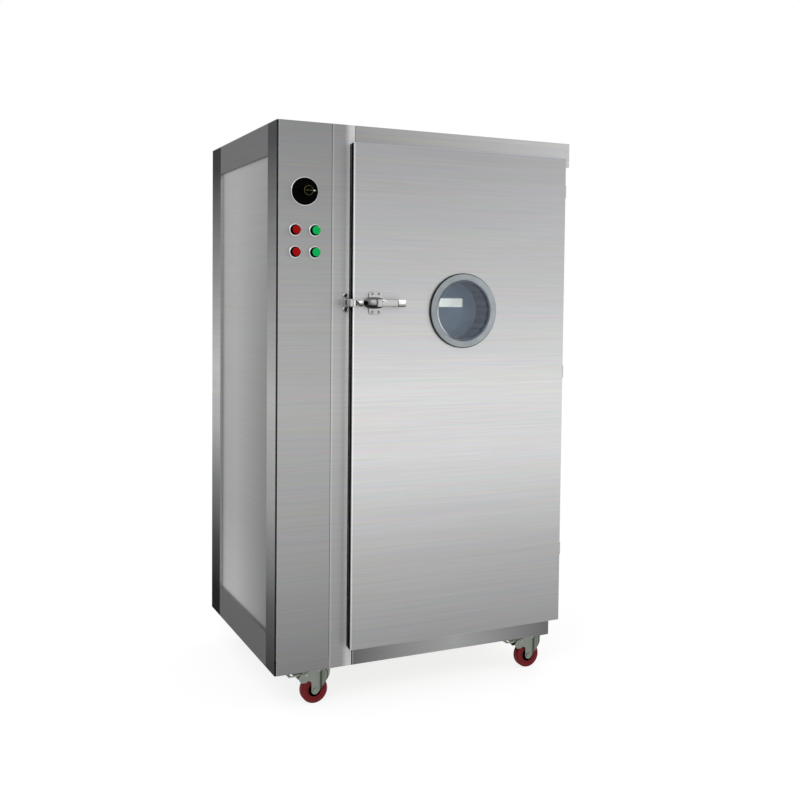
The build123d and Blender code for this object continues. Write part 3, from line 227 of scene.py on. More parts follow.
# The cover and the plinth, with painted light uneven along the front, and painted shadow at the plinth's left
# end
dress(brushed("brushed_steel_cover", [(1.780, "#b9b9b9"), (1.874, "#b9b9b9")],
              painted_sweep=("X", [(-0.28, "#d4d4d4"), (0.05, "#e8e8e8"), (0.54, "#fafafa")])), "top_cover")
dress(brushed("brushed_steel_plinth", [(0.124, "#9c9c9c"), (0.198, "#a0a0a0")],
              painted_sweep=("X", [(-0.28, "#050505"), (-0.2752, "#050505"), (-0.2744, "#ffffff"),
                           (-0.2725, "#a6a6a6"), (-0.10, "#dedede"), (0.10, "#ffffff"),
                           (0.30, "#dadada"), (0.49, "#acacac")])), "plinth_panel")


# Chamber: a welded box of thin stainless sheet, left with the smooth finish of the mill, with
# ladder racks spot-welded to its walls, three slotted shelves and a duct panel at the back.
def mill_finish(tree, where):
    # Cold-rolled sheet: even, faintly cloudy, with level rolling lines about 3 mm apart
    cloud = add(tree, "TexNoise", {"Vector": where, "Scale": 7.0, "Detail": 2.0})
    stretched = add(tree, "VectorMath", {0: where, 1: (6.0, 6.0, 330.0)}, operation="MULTIPLY")
    rolled = add(tree, "TexNoise", {"Vector": stretched, "Scale": 1.0, "Detail": 2.0})
    both = add(tree, "Math", {0: cloud, 1: rolled}, operation="MULTIPLY")
    tint = add(tree, "ValToRGB", {"Fac": both},
               stops=[(0.1, "#a9abae"), (0.25, "#b9babc"), (0.45, "#c6c7c8")])
    rough = add(tree, "MapRange", {"Value": cloud, "To Min": 0.24, "To Max": 0.4})
    return {"Base Color": tint, "Metallic": 1.0, "Roughness": rough}


mill = finish("mill_finish_stainless", mill_finish)
dress(mill, "chamber_liner", "shelf_racks", "shelf_1", "shelf_2", "shelf_3", "duct_panel")


# Insulation: pressed boards of mineral wool round the liner, and a foam core cast in the door.
# Both lie hidden between the sheets.
def wool(tree, where):
    # Tangled fibres a few millimetres long, straw-coloured with darker gaps
    fibre = add(tree, "TexNoise", {
        "Vector": where, "Scale": 260.0, "Detail": 5.0, "Roughness": 0.7, "Distortion": 1.2})
    tint = add(tree, "ValToRGB", {"Fac": fibre},
               stops=[(0.3, "#8d7c4f"), (0.5, "#b9a873"), (0.7, "#d2c596")])
    relief = add(tree, "Bump", {"Height": fibre, "Strength": 0.6, "Distance": 0.002})
    return {"Base Color": tint, "Roughness": 0.95, "Normal": relief}


def foam(tree, where):
    # Closed cells of about 1 mm, drawn at 2 mm, cream going to amber with age
    cells = add(tree, "TexVoronoi", {"Vector": where, "Scale": 500.0})
    age = add(tree, "TexNoise", {"Vector": where, "Scale": 6.0})
    tint = add(tree, "ValToRGB", {"Fac": age}, stops=[(0.3, "#e3d3a2"), (0.7, "#c9ac6b")])
    relief = add(tree, "Bump", {"Height": cells, "Strength": 0.3, "Distance": 0.001})
    return {"Base Color": tint, "Roughness": 0.9, "Normal": relief}


dress(finish("mineral_wool_board", wool), "chamber_insulation")
dress(finish("polyurethane_foam", foam), "door_insulation")


# Air path behind the duct panel: a flange motor, a six-bladed rotor of sheet aluminium, a
# tubular heater bent back and forth, and a quartz lamp in two ceramic holders.
def powder_coat(tree, where):
    # Orange-peel texture of about 1.5 mm in a dark blue-grey paint
    peel = add(tree, "TexNoise", {"Vector": where, "Scale": 650.0, "Detail": 1.0})
    dust = add(tree, "TexNoise", {"Vector": where, "Scale": 30.0, "Detail": 3.0})
    tint = add(tree, "ValToRGB", {"Fac": dust}, stops=[(0.35, "#2a2f36"), (0.7, "#3b4048")])
    relief = add(tree, "Bump", {"Height": peel, "Strength": 0.3, "Distance": 0.0004})
    return {"Base Color": tint, "Roughness": 0.45, "Normal": relief}


def mottled(name, per_metre, tones, rough, detail=2.0, metal=0.0, specular=0.5):
    """A finish that wanders between its tones in patches, so many to the metre. Where the
    roughness is a pair, it follows the same patches."""
    def recipe(tree, where):
        patch = add(tree, "TexNoise", {"Vector": where, "Scale": per_metre, "Detail": detail})
        tint = add(tree, "ValToRGB", {"Fac": patch}, stops=tones)
        dull = rough
        if isinstance(rough, tuple):
            dull = add(tree, "MapRange", {"Value": patch, "To Min": rough[0], "To Max": rough[1]})
        return {"Base Color": tint, "Roughness": dull, "Metallic": metal, "Specular IOR Level": specular}
    return finish(name, recipe)


def lamp_parts(tree, where):
    # A milky quartz tube between two matt white ceramic holders, told apart by their place
    low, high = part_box("ozone_lamp")
    place = add(tree, "SeparateXYZ", {"Vector": where})
    off = add(tree, "Math", {0: place.outputs["X"], 1: (low.x + high.x) / 2}, operation="SUBTRACT")
    far = add(tree, "Math", {0: off}, operation="ABSOLUTE")
    holder_length = 0.031
    holder = add(tree, "Math", {0: far, 1: (high.x - low.x) / 2 - holder_length}, operation="GREATER_THAN")
    speck = add(tree, "TexNoise", {"Vector": where, "Scale": 300.0})
    clay = add(tree, "ValToRGB", {"Fac": speck}, stops=[(0.3, "#e2dfd6"), (0.7, "#f1efe9")])
    tint = add(tree, "Mix", {"Factor": holder, 6: srgb("#d6dde6"), 7: clay}, data_type="RGBA")
    rough = add(tree, "MapRange", {"Value": holder, "To Min": 0.08, "To Max": 0.7})
    return {"Base Color": tint.outputs[2], "Roughness": rough}


dress(finish("powder_coated_motor", powder_coat), "fan_motor")
# Pale sheet with soft smears left by handling
dress(mottled("rolled_aluminium_blades", 45.0, [(0.3, "#b7babd"), (0.7, "#d0d2d4")], (0.28, 0.5), 3.0,
              metal=1.0), "fan_rotor")
# Oxide colours that wander from straw to brown along the tube
dress(mottled("heat_tinted_tube", 14.0, [(0.3, "#4a4641"), (0.5, "#6b5b48"), (0.7, "#57504c")], 0.5,
              metal=1.0), "heater_element")
dress(finish("quartz_and_ceramic", lamp_parts), "ozone_lamp")


# Control gear: a zinc-plated plate on the column's inner wall with a rail, on which three
# contactors in grey moulded housings are clipped.
def switchgear(tree, where):
    # Plate and rail are dull zinc. The housings are told apart by their distance from the wall
    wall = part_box("control_gear")[1].x
    rail_depth = 0.0125
    place = add(tree, "SeparateXYZ", {"Vector": where})
    moulded = add(tree, "Math", {0: place.outputs["X"], 1: wall - rail_depth}, operation="LESS_THAN")
    cloud = add(tree, "TexNoise", {"Vector": where, "Scale": 60.0, "Detail": 3.0})
    zinc = add(tree, "ValToRGB", {"Fac": cloud}, stops=[(0.3, "#8f9698"), (0.7, "#adb2b1")])
    shell = add(tree, "ValToRGB", {"Fac": cloud}, stops=[(0.3, "#4b4e52"), (0.7, "#585b5f")])
    tint = add(tree, "Mix", {"Factor": moulded, 6: zinc, 7: shell}, data_type="RGBA")
    metal = add(tree, "Math", {0: 1.0, 1: moulded}, operation="SUBTRACT")
    return {"Base Color": tint.outputs[2], "Metallic": metal, "Roughness": 0.5}


dress(finish("zinc_plate_and_grey_housings", switchgear), "control_gear")


# Cable gland low on the back: a hexagon body of black nylon with a domed clamping nut,
# screwed through the back panel.
def bake(piece):
    """Replaces a piece's mesh with what its modifiers make of it."""
    bpy.context.view_layer.update()
    mesh = bpy.data.meshes.new_from_object(piece.evaluated_get(bpy.context.evaluated_depsgraph_get()))
    piece.modifiers.clear()
    piece.data = mesh
    return piece


def made(name, shape, material, edge=0.0, turn_angle=32.0):
    """A piece from a finished shape, its hard edges rounded over by the edge's width."""
    bmesh.ops.recalc_face_normals(shape, faces=shape.faces)
    mesh = bpy.data.meshes.new(name)
    shape.to_mesh(mesh)
    shape.free()
    piece = bpy.data.objects.new(name, mesh)
    bpy.context.scene.collection.objects.link(piece)
    mesh.shade_smooth()
    if edge:
        # Normals weighted by area keep the flats flat beside the rounded edges and the bends
        bevel = piece.modifiers.new("edges", "BEVEL")
        bevel.width, bevel.segments, bevel.angle_limit = edge, 2, math.radians(turn_angle)
        flats = piece.modifiers.new("flats", "WEIGHTED_NORMAL")
        flats.weight, flats.keep_sharp = 95, True
        bake(piece)
    else:
        mesh.set_sharp_from_angle(angle=math.radians(turn_angle))
    piece.data.materials.clear()
    piece.data.materials.append(material)
    return piece


def softened(node, name, material, edge):
    """A copy of a CAD node as one merged shell, its hard edges rounded over."""
    shape = bmesh.new()
    shape.from_mesh(nodes[node].data)
    bmesh.ops.remove_doubles(shape, verts=shape.verts, dist=2e-5)
    bmesh.ops.dissolve_limit(shape, angle_limit=math.radians(0.6), verts=shape.verts, edges=shape.edges)
    return made(name, shape, material, edge)


def fit(piece, body, slot, *stands_for):
    """Fixes a finished piece to its body and hides the CAD nodes that it stands for."""
    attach(piece, body)
    if stands_for:
        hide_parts(*stands_for)
    return piece


# Glass-filled nylon: near black, satin, with a fine speckle of fibre ends
black_nylon = mottled("glass_filled_nylon", 900.0, [(0.4, "#0f0f10"), (0.8, "#222224")], (0.4, 0.58))
fit(softened("cable_gland", "gland_body", black_nylon, 0.0008), "cabinet", "gland_plastic", "cable_gland")


# Louvre hoods: pressed scoops over the slots in the back panel, four across and six down, in
# one group beside the motor and one beside the heater. They shed drips and hide the slots.
def copying(name, layout, **inputs):
    """A node tree that puts copies of one piece on points. The layout takes the tree and its
    inputs, and gives the points and how each copy is turned or sized."""
    tree = bpy.data.node_groups.new(name, "GeometryNodeTree")
    tree.is_modifier = True
    for label, kind in {**inputs, "Piece": "Object", "Finish": "Material"}.items():
        tree.interface.new_socket(label, in_out="INPUT", socket_type=f"NodeSocket{kind}")
    tree.interface.new_socket("Geometry", in_out="OUTPUT", socket_type="NodeSocketGeometry")
    given = add(tree, "NodeGroupInput").outputs
    piece = add(tree, "GeometryNodeObjectInfo", {"Object": given["Piece"]})
    copies = add(tree, "GeometryNodeInstanceOnPoints", {
        "Instance": piece.outputs["Geometry"], **layout(tree, given)})
    real = add(tree, "GeometryNodeRealizeInstances", {"Geometry": copies})
    coated = add(tree, "GeometryNodeSetMaterial", {"Geometry": real, "Material": given["Finish"]})
    add(tree, "NodeGroupOutput", {"Geometry": coated})
    return tree


def in_rows(tree, given):
    """Rows and columns in the X-Z plane."""
    spans = []
    for count, pitch in (("Columns", "Column_pitch"), ("Rows", "Row_pitch")):
        gaps = add(tree, "Math", {0: given[count], 1: 1.0}, operation="SUBTRACT")
        spans.append(add(tree, "Math", {0: gaps, 1: given[pitch]}, operation="MULTIPLY"))
    grid = add(tree, "GeometryNodeMeshGrid", {
        "Size X": spans[0], "Size Y": spans[1], "Vertices X": given["Columns"], "Vertices Y": given["Rows"]})
    return {"Points": add(tree, "GeometryNodeTransform", {
        "Geometry": grid, "Rotation": (math.radians(90), 0.0, 0.0)})}


def grown(name, tree, values, points=None):
    """Runs a node tree once, with its inputs set, and keeps the result as a plain mesh."""
    piece = bpy.data.objects.new(name, points or bpy.data.meshes.new(name))
    bpy.context.scene.collection.objects.link(piece)
    modifier = piece.modifiers.new("copies", "NODES")
    modifier.node_group = tree
    ids = {item.name: item.identifier for item in tree.interface.items_tree if item.in_out == "INPUT"}
    for label, value in values.items():
        modifier[ids[label]] = value
    return bake(piece)


hood_length, hood_height, hood_proud, hood_sheet = 0.066, 0.010, 0.0045, 0.0008
column_pitch, row_pitch, groups_x = 0.08, 0.018, 0.101
shape = bmesh.new()
arcs = []
for along, share in ((-0.5, 0.0), (-0.44, 0.75), (-0.36, 1.0), (0.36, 1.0), (0.44, 0.75), (0.5, 0.0)):
    arcs.append([shape.verts.new((along * hood_length,
                                  hood_proud * share * math.sin(math.radians(a)),
                                  -hood_height / 2 + hood_height * (1 - math.cos(math.radians(a)))))
                 for a in range(0, 91, 15)])
for left, right in zip(arcs, arcs[1:]):
    for i in range(6):
        shape.faces.new((left[i], left[i + 1], right[i + 1], right[i]))
bmesh.ops.solidify(shape, geom=shape.faces[:], thickness=hood_sheet)
back_steel = nodes["back_panel"].data.materials[0]
hood = made("louvre_hood", shape, back_steel)
rows = copying("rows_of_hoods", in_rows, Columns="Int", Rows="Int", Column_pitch="Float", Row_pitch="Float")
back_low, back_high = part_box("back_panel")
for group, level in (("upper", 1.414), ("lower", 0.374)):
    hoods = grown(f"louvre_hoods_{group}", rows, {
        "Piece": hood, "Columns": 4, "Rows": 6, "Column_pitch": column_pitch, "Row_pitch": row_pitch,
        "Finish": back_steel})
    hoods.data.transform(Matrix.Translation((groups_x, back_high.y, level)))
    fit(hoods, "cabinet", "brushed_sheet")
bpy.data.objects.remove(hood)


# Hinges: three lift-off hinges of satin-chromed steel on the right edge. The leaf with the pin
# is screwed to the body's side, the leaf with the sleeve to the door's edge.
def plated(name, painted_light_bands, left, low=0.22, high=0.34):
    """Satin chrome with a painted reflection, toned by how far a surface faces down or up, and painted shade
    facing left.
    """
    def recipe(tree, where):
        # Fine pits from the casting, 2 to 3 mm apart, that only just break the gloss
        facing = faced(tree)
        tint = toned(tree, facing["Z"], -1.0, 1.0, painted_light_bands)
        left_painted_shade = add(tree, "MapRange", {
            "Value": facing["X"], "From Min": -0.95, "From Max": -0.35, "To Min": left})
        colour = add(tree, "VectorMath", {0: tint, "Scale": left_painted_shade}, operation="SCALE")
        pits = add(tree, "TexNoise", {"Vector": where, "Scale": 420.0, "Detail": 3.0})
        rough = add(tree, "MapRange", {"Value": pits, "To Min": low, "To Max": high})
        return {"Base Color": colour, "Metallic": 1.0, "Roughness": rough}
    return finish(name, recipe)


# Painted reflection: dark facing down, light facing up, darker facing left
chrome = plated("satin_chrome", [
    (0.0, "#2b2b2c"), (0.22, "#5e5f60"), (0.42, "#a7a8a8"), (0.62, "#b9b9b9"), (1.0, "#dededd")], 0.4)
for leaves, half, body in (("hinge_frame_leaves", "pins", "cabinet"),
                           ("hinge_door_leaves", "sleeves", "door")):
    fit(softened(leaves, f"hinge_leaves_with_{half}", chrome, 0.0006), body, "chrome_casting", leaves)


# Door: a brushed pan with folded rim in front, a mill-finish pan with a raised plug behind, a
# black extruded profile between them as thermal break, and a soft gasket in its groove.
def lump(shape, low, high):
    """A block between two corners."""
    low, high = Vector(low), Vector(high)
    bmesh.ops.create_cube(shape, size=1.0, matrix=Matrix.Translation((low + high) / 2) @
                          Matrix.Diagonal((*(high - low), 1.0)))


def vinyl(tree, where):
    # Extruded black plastic with fine draw lines along its length
    stretched = add(tree, "VectorMath", {0: where, 1: (900.0, 900.0, 9.0)}, operation="MULTIPLY")
    drawn = add(tree, "TexNoise", {"Vector": stretched, "Scale": 1.0, "Detail": 2.0})
    tint = add(tree, "ValToRGB", {"Fac": drawn}, stops=[(0.35, "#010101"), (0.8, "#040404")])
    return {"Base Color": tint, "Roughness": 0.6, "Specular IOR Level": 0.03}


# The door's sheet, with a painted reflection brightest at half height and a painted highlight along its left
# bend
dress(brushed("brushed_steel_door", [
    (0.185, "#969696"), (0.450, "#acacac"), (0.800, "#d2d2d2"), (1.020, "#d6d6d6"), (1.353, "#bcbcbd"),
    (1.816, "#a0a0a2")], painted_zones=[("X", -0.2920, -0.2930, [
        (0.185, "#b8b8b8"), (0.700, "#f0f0f0"), (1.350, "#fbfbfb"), (1.816, "#c4c4c4")])],
    fold_highlight=("Y", "#e0e0e0")), "door_outer_panel")
dress(mill, "door_inner_panel")
# Matt black rubber, dusted in places
rubber = mottled("silicone_rubber", 70.0, [(0.4, "#0a0a0a"), (0.85, "#1d1d1d")], 0.8, 4.0, specular=0.25)
seam_black = finish("extruded_vinyl", vinyl)
dress(seam_black, "door_edge_profile")
dress(rubber, "door_gasket")
# A flat black strip on the stile, behind the door's edge, is a painted shadow in the gap
shape = bmesh.new()
lump(shape, (-0.2965, -0.3692, 0.1870), (-0.2845, -0.3688, 1.8140))
fit(made("stile_seal_strip", shape, seam_black, 0.00008), "cabinet", "gasket_rubber")


# Porthole: a moulded grey ring clamped on a black rubber seal, a glazing bead, two panes of
# toughened glass and the blue-grey sleeve that joins them through the door.
def turn(shape, profile, centre, axis, steps=72, closed=False):
    """Turns an outline of (distance along the axis, radius) pairs about the axis."""
    stand = Matrix.Translation(centre) @ Vector(axis).to_track_quat("Z", "Y").to_matrix().to_4x4()
    rings = []
    for along, radius in profile:
        if radius < 1e-6:
            rings.append([shape.verts.new(stand @ Vector((0.0, 0.0, along)))])
        else:
            rings.append([shape.verts.new(stand @ Vector((
                radius * math.cos(math.tau * i / steps), radius * math.sin(math.tau * i / steps), along)))
                for i in range(steps)])
    pairs = list(zip(rings, rings[1:])) + ([(rings[-1], rings[0])] if closed else [])
    for one, two in pairs:
        for i in range(steps):
            j = (i + 1) % steps
            corners = [one[i % len(one)], one[j % len(one)], two[j % len(two)], two[i % len(two)]]
            shape.faces.new(list(dict.fromkeys(corners)))


def ring_moulding(tree, where):
    # Moulded polypropylene, satin, mottled a little towards blue
    cloud = add(tree, "TexNoise", {"Vector": where, "Scale": 26.0, "Detail": 3.0})
    grain = add(tree, "TexNoise", {"Vector": where, "Scale": 700.0})
    mottle = add(tree, "ValToRGB", {"Fac": cloud},
                 stops=[(0.3, "#8f989d"), (0.5, "#99a1a5"), (0.7, "#a1a8aa")])
    # Painted light and shade: darker towards the left and a little paler towards the hinge side
    place = add(tree, "SeparateXYZ", {"Vector": where})
    painted_shade_across = add(tree, "MapRange", {
        "Value": place.outputs["X"], "From Min": -0.02, "From Max": 0.22, "To Min": 0.82, "To Max": 1.06})
    tint = add(tree, "VectorMath", {0: mottle, "Scale": painted_shade_across}, operation="SCALE")
    relief = add(tree, "Bump", {"Height": grain, "Strength": 0.1, "Distance": 0.0003})
    return {"Base Color": tint, "Roughness": 0.42, "Normal": relief}


def sleeve_moulding(tree, where):
    # The same plastic in a deeper blue-grey, glossier, with soft streaks along the bore
    streak = add(tree, "VectorMath", {0: where, 1: (60.0, 4.0, 60.0)}, operation="MULTIPLY")
    soft = add(tree, "TexNoise", {"Vector": streak, "Scale": 1.0, "Detail": 2.0})
    tint = add(tree, "ValToRGB", {"Fac": soft},
               stops=[(0.3, "#46566b"), (0.5, "#55667c"), (0.7, "#6f8196")])
    return {"Base Color": tint, "Roughness": 0.24}


def glazing(tree, where):
    # Toughened glass. The outer pane is clear with a cold tint, the inner one has a blue-grey
    # film that hides most of the chamber. Faint haze in patches 60 mm wide
    haze = add(tree, "TexNoise", {"Vector": where, "Scale": 16.0})
    place = add(tree, "SeparateXYZ", {"Vector": where})
    between_panes = ring_low.y + 0.05
    inner = add(tree, "Math", {0: place.outputs["Y"], 1: between_panes}, operation="GREATER_THAN")
    film = add(tree, "ValToRGB", {"Fac": haze}, stops=[(0.35, "#9fb6cc"), (0.65, "#b0c2d4")])
    tint = add(tree, "Mix", {"Factor": inner, 6: srgb("#dfe8f0"), 7: film}, data_type="RGBA")
    clear = add(tree, "MapRange", {"Value": inner, "To Min": 1.0, "To Max": 0.25})
    rough = add(tree, "MapRange", {"Value": haze, "To Min": 0.0, "To Max": 0.02})
    return {"Base Color": tint.outputs[2], "Roughness": rough, "Transmission Weight": clear}


def bead_highlight(tree, where):
    # Painted highlight: the bead is white where it faces up to the right, and a mottled dark blue-grey
    # elsewhere
    facing = add(tree, "TexCoord").outputs["Normal"]
    upward = add(tree, "VectorMath", {0: facing, 1: (0.95, 0.0, 0.3)}, operation="DOT_PRODUCT")
    painted_light_mask = add(tree, "MapRange", {"Value": upward.outputs["Value"], "From Min": 0.30, "From Max": 0.44})
    grime = add(tree, "TexNoise", {"Vector": where, "Scale": 120.0, "Detail": 2.0})
    dark_bead = add(tree, "ValToRGB", {"Fac": grime}, stops=[(0.3, "#454d58"), (0.7, "#59616c")])
    tint = add(tree, "Mix", {"Factor": painted_light_mask, 6: dark_bead, 7: srgb("#fdfcfa")}, data_type="RGBA")
    return {"Base Color": tint.outputs[2], "Roughness": 0.35}


ring_low, ring_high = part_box("window_ring")
port = Vector(((ring_low.x + ring_high.x) / 2, ring_high.y, (ring_low.z + ring_high.z) / 2))
outward = (0.0, -1.0, 0.0)
shape = bmesh.new()
turn(shape, [(0.0015, 0.1010), (0.0015, 0.1195), (0.0085, 0.1222), (0.0110, 0.1216), (0.0125, 0.1200),
             (0.0130, 0.1180), (0.0127, 0.1110), (0.0130, 0.1045), (0.0124, 0.1030), (0.0110, 0.1022),
             (0.0095, 0.1012)], port, outward, 128, closed=True)
grey_moulding = finish("moulded_polypropylene_ring", ring_moulding)
fit(made("porthole_ring", shape, grey_moulding, turn_angle=50), "door", "ring_plastic", "window_ring")
shape = bmesh.new()
turn(shape, [(0.0, 0.1205), (0.0, 0.1243), (0.0066, 0.1245), (0.0080, 0.1226), (0.0016, 0.1194)],
     port, outward, 128, closed=True)
fit(made("porthole_seal", shape, rubber, turn_angle=50), "door", "gasket_rubber")
shape = bmesh.new()
turn(shape, [(0.0044, 0.0958), (0.0044, 0.1014), (0.0108, 0.1018), (0.0112, 0.1012), (0.0090, 0.0962)],
     port, outward, 128, closed=True)
highlit_bead = finish("bead_painted_highlight", bead_highlight)
fit(made("porthole_bead", shape, highlit_bead, turn_angle=24), "door", "ring_plastic")
dress(finish("moulded_polypropylene_sleeve", sleeve_moulding), "window_sleeve")
dress(finish("toughened_glass", glazing), "window_panes")


# Latch body on the door: a die-cast, satin-chromed shell on a foot with four screw holes. It is
# egg-shaped, with a slot at its right end for the lever and a black guide for the tongue.
def loft(shape, sections):
    """Joins a row of closed sections with faces and closes both ends."""
    rings = [[shape.verts.new(point) for point in section] for section in sections]
    for one, two in zip(rings, rings[1:]):
        for i in range(len(one)):
            j = (i + 1) % len(one)
            shape.faces.new((one[i], one[j], two[j], two[i]))
    shape.faces.new(rings[0][::-1])
    shape.faces.new(rings[-1])


front_plane = Matrix(((1, 0, 0, 0), (0, 0, 1, 0), (0, 1, 0, 0), (0, 0, 0, 1)))


def plate(shape, outlines, thickness, edge, centre, plane=front_plane):
    """A flat lump with rounded edges: closed outlines in its own plane, holes after the first."""
    curve = bpy.data.curves.new("outline", "CURVE")
    curve.dimensions, curve.fill_mode = "2D", "BOTH"
    curve.extrude, curve.bevel_depth = thickness / 2 - edge, edge
    curve.bevel_resolution, curve.offset = 2, -edge
    for number, outline in enumerate(outlines):
        spline = curve.splines.new("POLY")
        spline.points.add(len(outline) - 1)
        for point, (u, v) in zip(spline.points, outline if number == 0 else outline[::-1]):
            point.co = (u, v, 0.0, 1.0)
        spline.use_cyclic_u = True
    holder = bpy.data.objects.new("outline", curve)
    bpy.context.scene.collection.objects.link(holder)
    bpy.context.view_layer.update()
    mesh = bpy.data.meshes.new_from_object(holder.evaluated_get(bpy.context.evaluated_depsgraph_get()))
    mesh.transform(Matrix.Translation(centre) @ plane)
    start = len(shape.verts)
    shape.from_mesh(mesh)
    shape.verts.ensure_lookup_table()
    bmesh.ops.remove_doubles(shape, verts=shape.verts[start:], dist=1e-6)
    bpy.data.objects.remove(holder)
    bpy.data.meshes.remove(mesh)


def arc(u, v, radius, start, end, steps=10):
    """Points on an arc, angles in degrees, counter-clockwise."""
    turns = [math.radians(start + (end - start) * i / steps) for i in range(steps + 1)]
    return [(u + radius * math.cos(a), v + radius * math.sin(a)) for a in turns]


def rounded(width, height, radius):
    """The outline of a rectangle with round corners, about its middle."""
    u, v = width / 2 - radius, height / 2 - radius
    return arc(u, v, radius, 0, 90) + arc(-u, v, radius, 90, 180) + arc(-u, -v, radius, 180, 270) + \
        arc(u, -v, radius, 270, 360)


def carved(piece, cutter, crossed=False):
    """Cuts one piece with another, which may cross itself, and drops the cutter."""
    cut = piece.modifiers.new("cut", "BOOLEAN")
    cut.operation, cut.object, cut.solver, cut.use_self = "DIFFERENCE", cutter, "EXACT", crossed
    bake(piece)
    bpy.data.objects.remove(cutter)


foot_low, foot_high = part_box("latch_housing")
lever_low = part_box("latch_lever")[0]
door_face = foot_high.y
latch_z = (foot_low.z + foot_high.z) / 2
hub_radius, foot_thick = 0.013, 0.004
pivot = Vector((lever_low.x + hub_radius, lever_low.y + hub_radius, latch_z))
foot_x = pivot.x - 0.002
foot_holes = [(sx * 0.0115, sz * 0.030) for sx in (-1, 1) for sz in (-1, 1)]
shape = bmesh.new()
plate(shape, [rounded(0.046, 0.075, 0.011)] + [arc(u, v, 0.0028, 0, 345, 23) for u, v in foot_holes],
      foot_thick, 0.0008, (foot_x, door_face - foot_thick / 2, latch_z))
# Painted reflection: dark facing down and straight up, light facing the front, much darker facing left
pale_chrome = plated("pale_satin_chrome", [
    (0.0, "#5e5e5e"), (0.3, "#a2a2a2"), (0.5, "#bebebe"), (0.75, "#c4c4c4"), (1.0, "#8e8e8e")], 0.12)
fit(made("latch_foot", shape, pale_chrome, turn_angle=40), "door", "chrome_casting")
shape = bmesh.new()
fullness = 0.82
sections = []
for x, half_height, depth in (
        (-0.0400, 0.0030, 0.008), (-0.0392, 0.0068, 0.0145), (-0.0370, 0.0105, 0.0205),
        (-0.0330, 0.0138, 0.0268), (-0.0280, 0.0162, 0.0315), (-0.0210, 0.0180, 0.0352),
        (-0.0130, 0.0187, 0.0372), (-0.0040, 0.0186, 0.0380), (0.0050, 0.0180, 0.0376),
        (0.0110, 0.0172, 0.0362), (0.0135, 0.0163, 0.0345), (0.0142, 0.0150, 0.0320)):
    section = []
    for i in range(33):
        angle = math.pi * i / 32
        out, up = math.sin(angle) ** fullness, abs(math.cos(angle)) ** fullness
        section.append((pivot.x + x, door_face - 0.002 - depth * out,
                        latch_z + half_height * math.copysign(up, math.cos(angle))))
    sections.append(section)
loft(shape, sections)
# The shell is duller than the foot, and darker below in a painted reflection of the floor's shadow
dull_chrome = plated("dull_chrome_casting", [
    (0.0, "#161616"), (0.24, "#2c2c2c"), (0.38, "#878787"), (0.5, "#a0a0a0"), (0.84, "#a8a8a8"),
    (0.98, "#585858")], 0.3, 0.42, 0.52)
shell = made("latch_body", shape, dull_chrome, turn_angle=50)
slot = bmesh.new()
slot_middle = Vector((pivot.x + 0.0133, pivot.y - 0.010, latch_z))
slot_half = Vector((0.0535, 0.0474, 0.0248)) / 2
lump(slot, slot_middle - slot_half, slot_middle + slot_half)
carved(shell, made("slot_cutter", slot, dull_chrome))
shell.data.shade_smooth()
shell.data.set_sharp_from_angle(angle=math.radians(38))
fit(shell, "door", "chrome_casting", "latch_housing")
shape = bmesh.new()
leftward = (-1.0, 0.0, 0.0)
tongue_low, tongue_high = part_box("latch_tongue")
rod_y = (tongue_low.y + tongue_high.y) / 2
turn(shape, [(0.0, 0.0056), (0.0, 0.0066), (-0.0022, 0.0068), (-0.0120, 0.0068), (-0.0120, 0.0056)],
     (pivot.x - 0.0410, rod_y, latch_z), leftward, 40, closed=True)
fit(made("latch_guide", shape, seam_black, turn_angle=40), "door", "black_plastic")


# Latch lever: a flat die-cast bar that swings out on its pin. Its round hub fills the slot of
# the latch body, and a thicker polished grip ends it.
def squared(x, y, z, half_depth, half_height, power=0.45, steps=28):
    """A rounded-rectangle section across the lever."""
    return [(x, y + half_depth * math.copysign(abs(math.cos(a)) ** power, math.cos(a)),
             z + half_height * math.copysign(abs(math.sin(a)) ** power, math.sin(a)))
            for a in (math.tau * i / steps for i in range(steps))]


shape = bmesh.new()
turn(shape, [(-0.0118, 0.0), (-0.0118, 0.0116), (-0.0108, 0.0126), (0.0108, 0.0126), (0.0118, 0.0116),
             (0.0118, 0.0)], pivot, (0.0, 0.0, 1.0), 56)
loft(shape, [squared(pivot.x + x, pivot.y + y, latch_z, d, h) for x, y, d, h in (
    (0.0060, -0.0040, 0.0050, 0.0112), (0.0125, -0.0030, 0.0058, 0.0116),
    (0.0160, -0.0022, 0.0056, 0.0114), (0.0215, -0.0010, 0.0046, 0.0110),
    (0.0300, 0.0000, 0.0042, 0.0108), (0.0640, 0.0000, 0.0040, 0.0103), (0.0662, 0.0000, 0.0037, 0.0098))])
fit(made("latch_lever_bar", shape, pale_chrome, turn_angle=44), "latch_lever", "chrome_casting",
    "latch_lever")
shape = bmesh.new()
loft(shape, [squared(pivot.x + x, pivot.y + y, latch_z, d, h, 0.55) for x, y, d, h in (
    (0.0655, 0.0000, 0.0046, 0.0104), (0.0668, -0.0004, 0.0062, 0.0120), (0.0690, -0.0006, 0.0070, 0.0127),
    (0.0800, -0.0006, 0.0074, 0.0129), (0.0890, -0.0005, 0.0071, 0.0126), (0.0920, -0.0003, 0.0058, 0.0112),
    (0.0936, 0.0000, 0.0036, 0.0085), (0.0940, 0.0000, 0.0018, 0.0060))])
# A small flat stands high on the bar, just right of the hub, and carries the grip's painted highlight
plate(shape, [rounded(0.0086, 0.0062, 0.0028)], 0.0018, 0.0006,
      (pivot.x + 0.0122, pivot.y - 0.0095, latch_z + 0.0084))
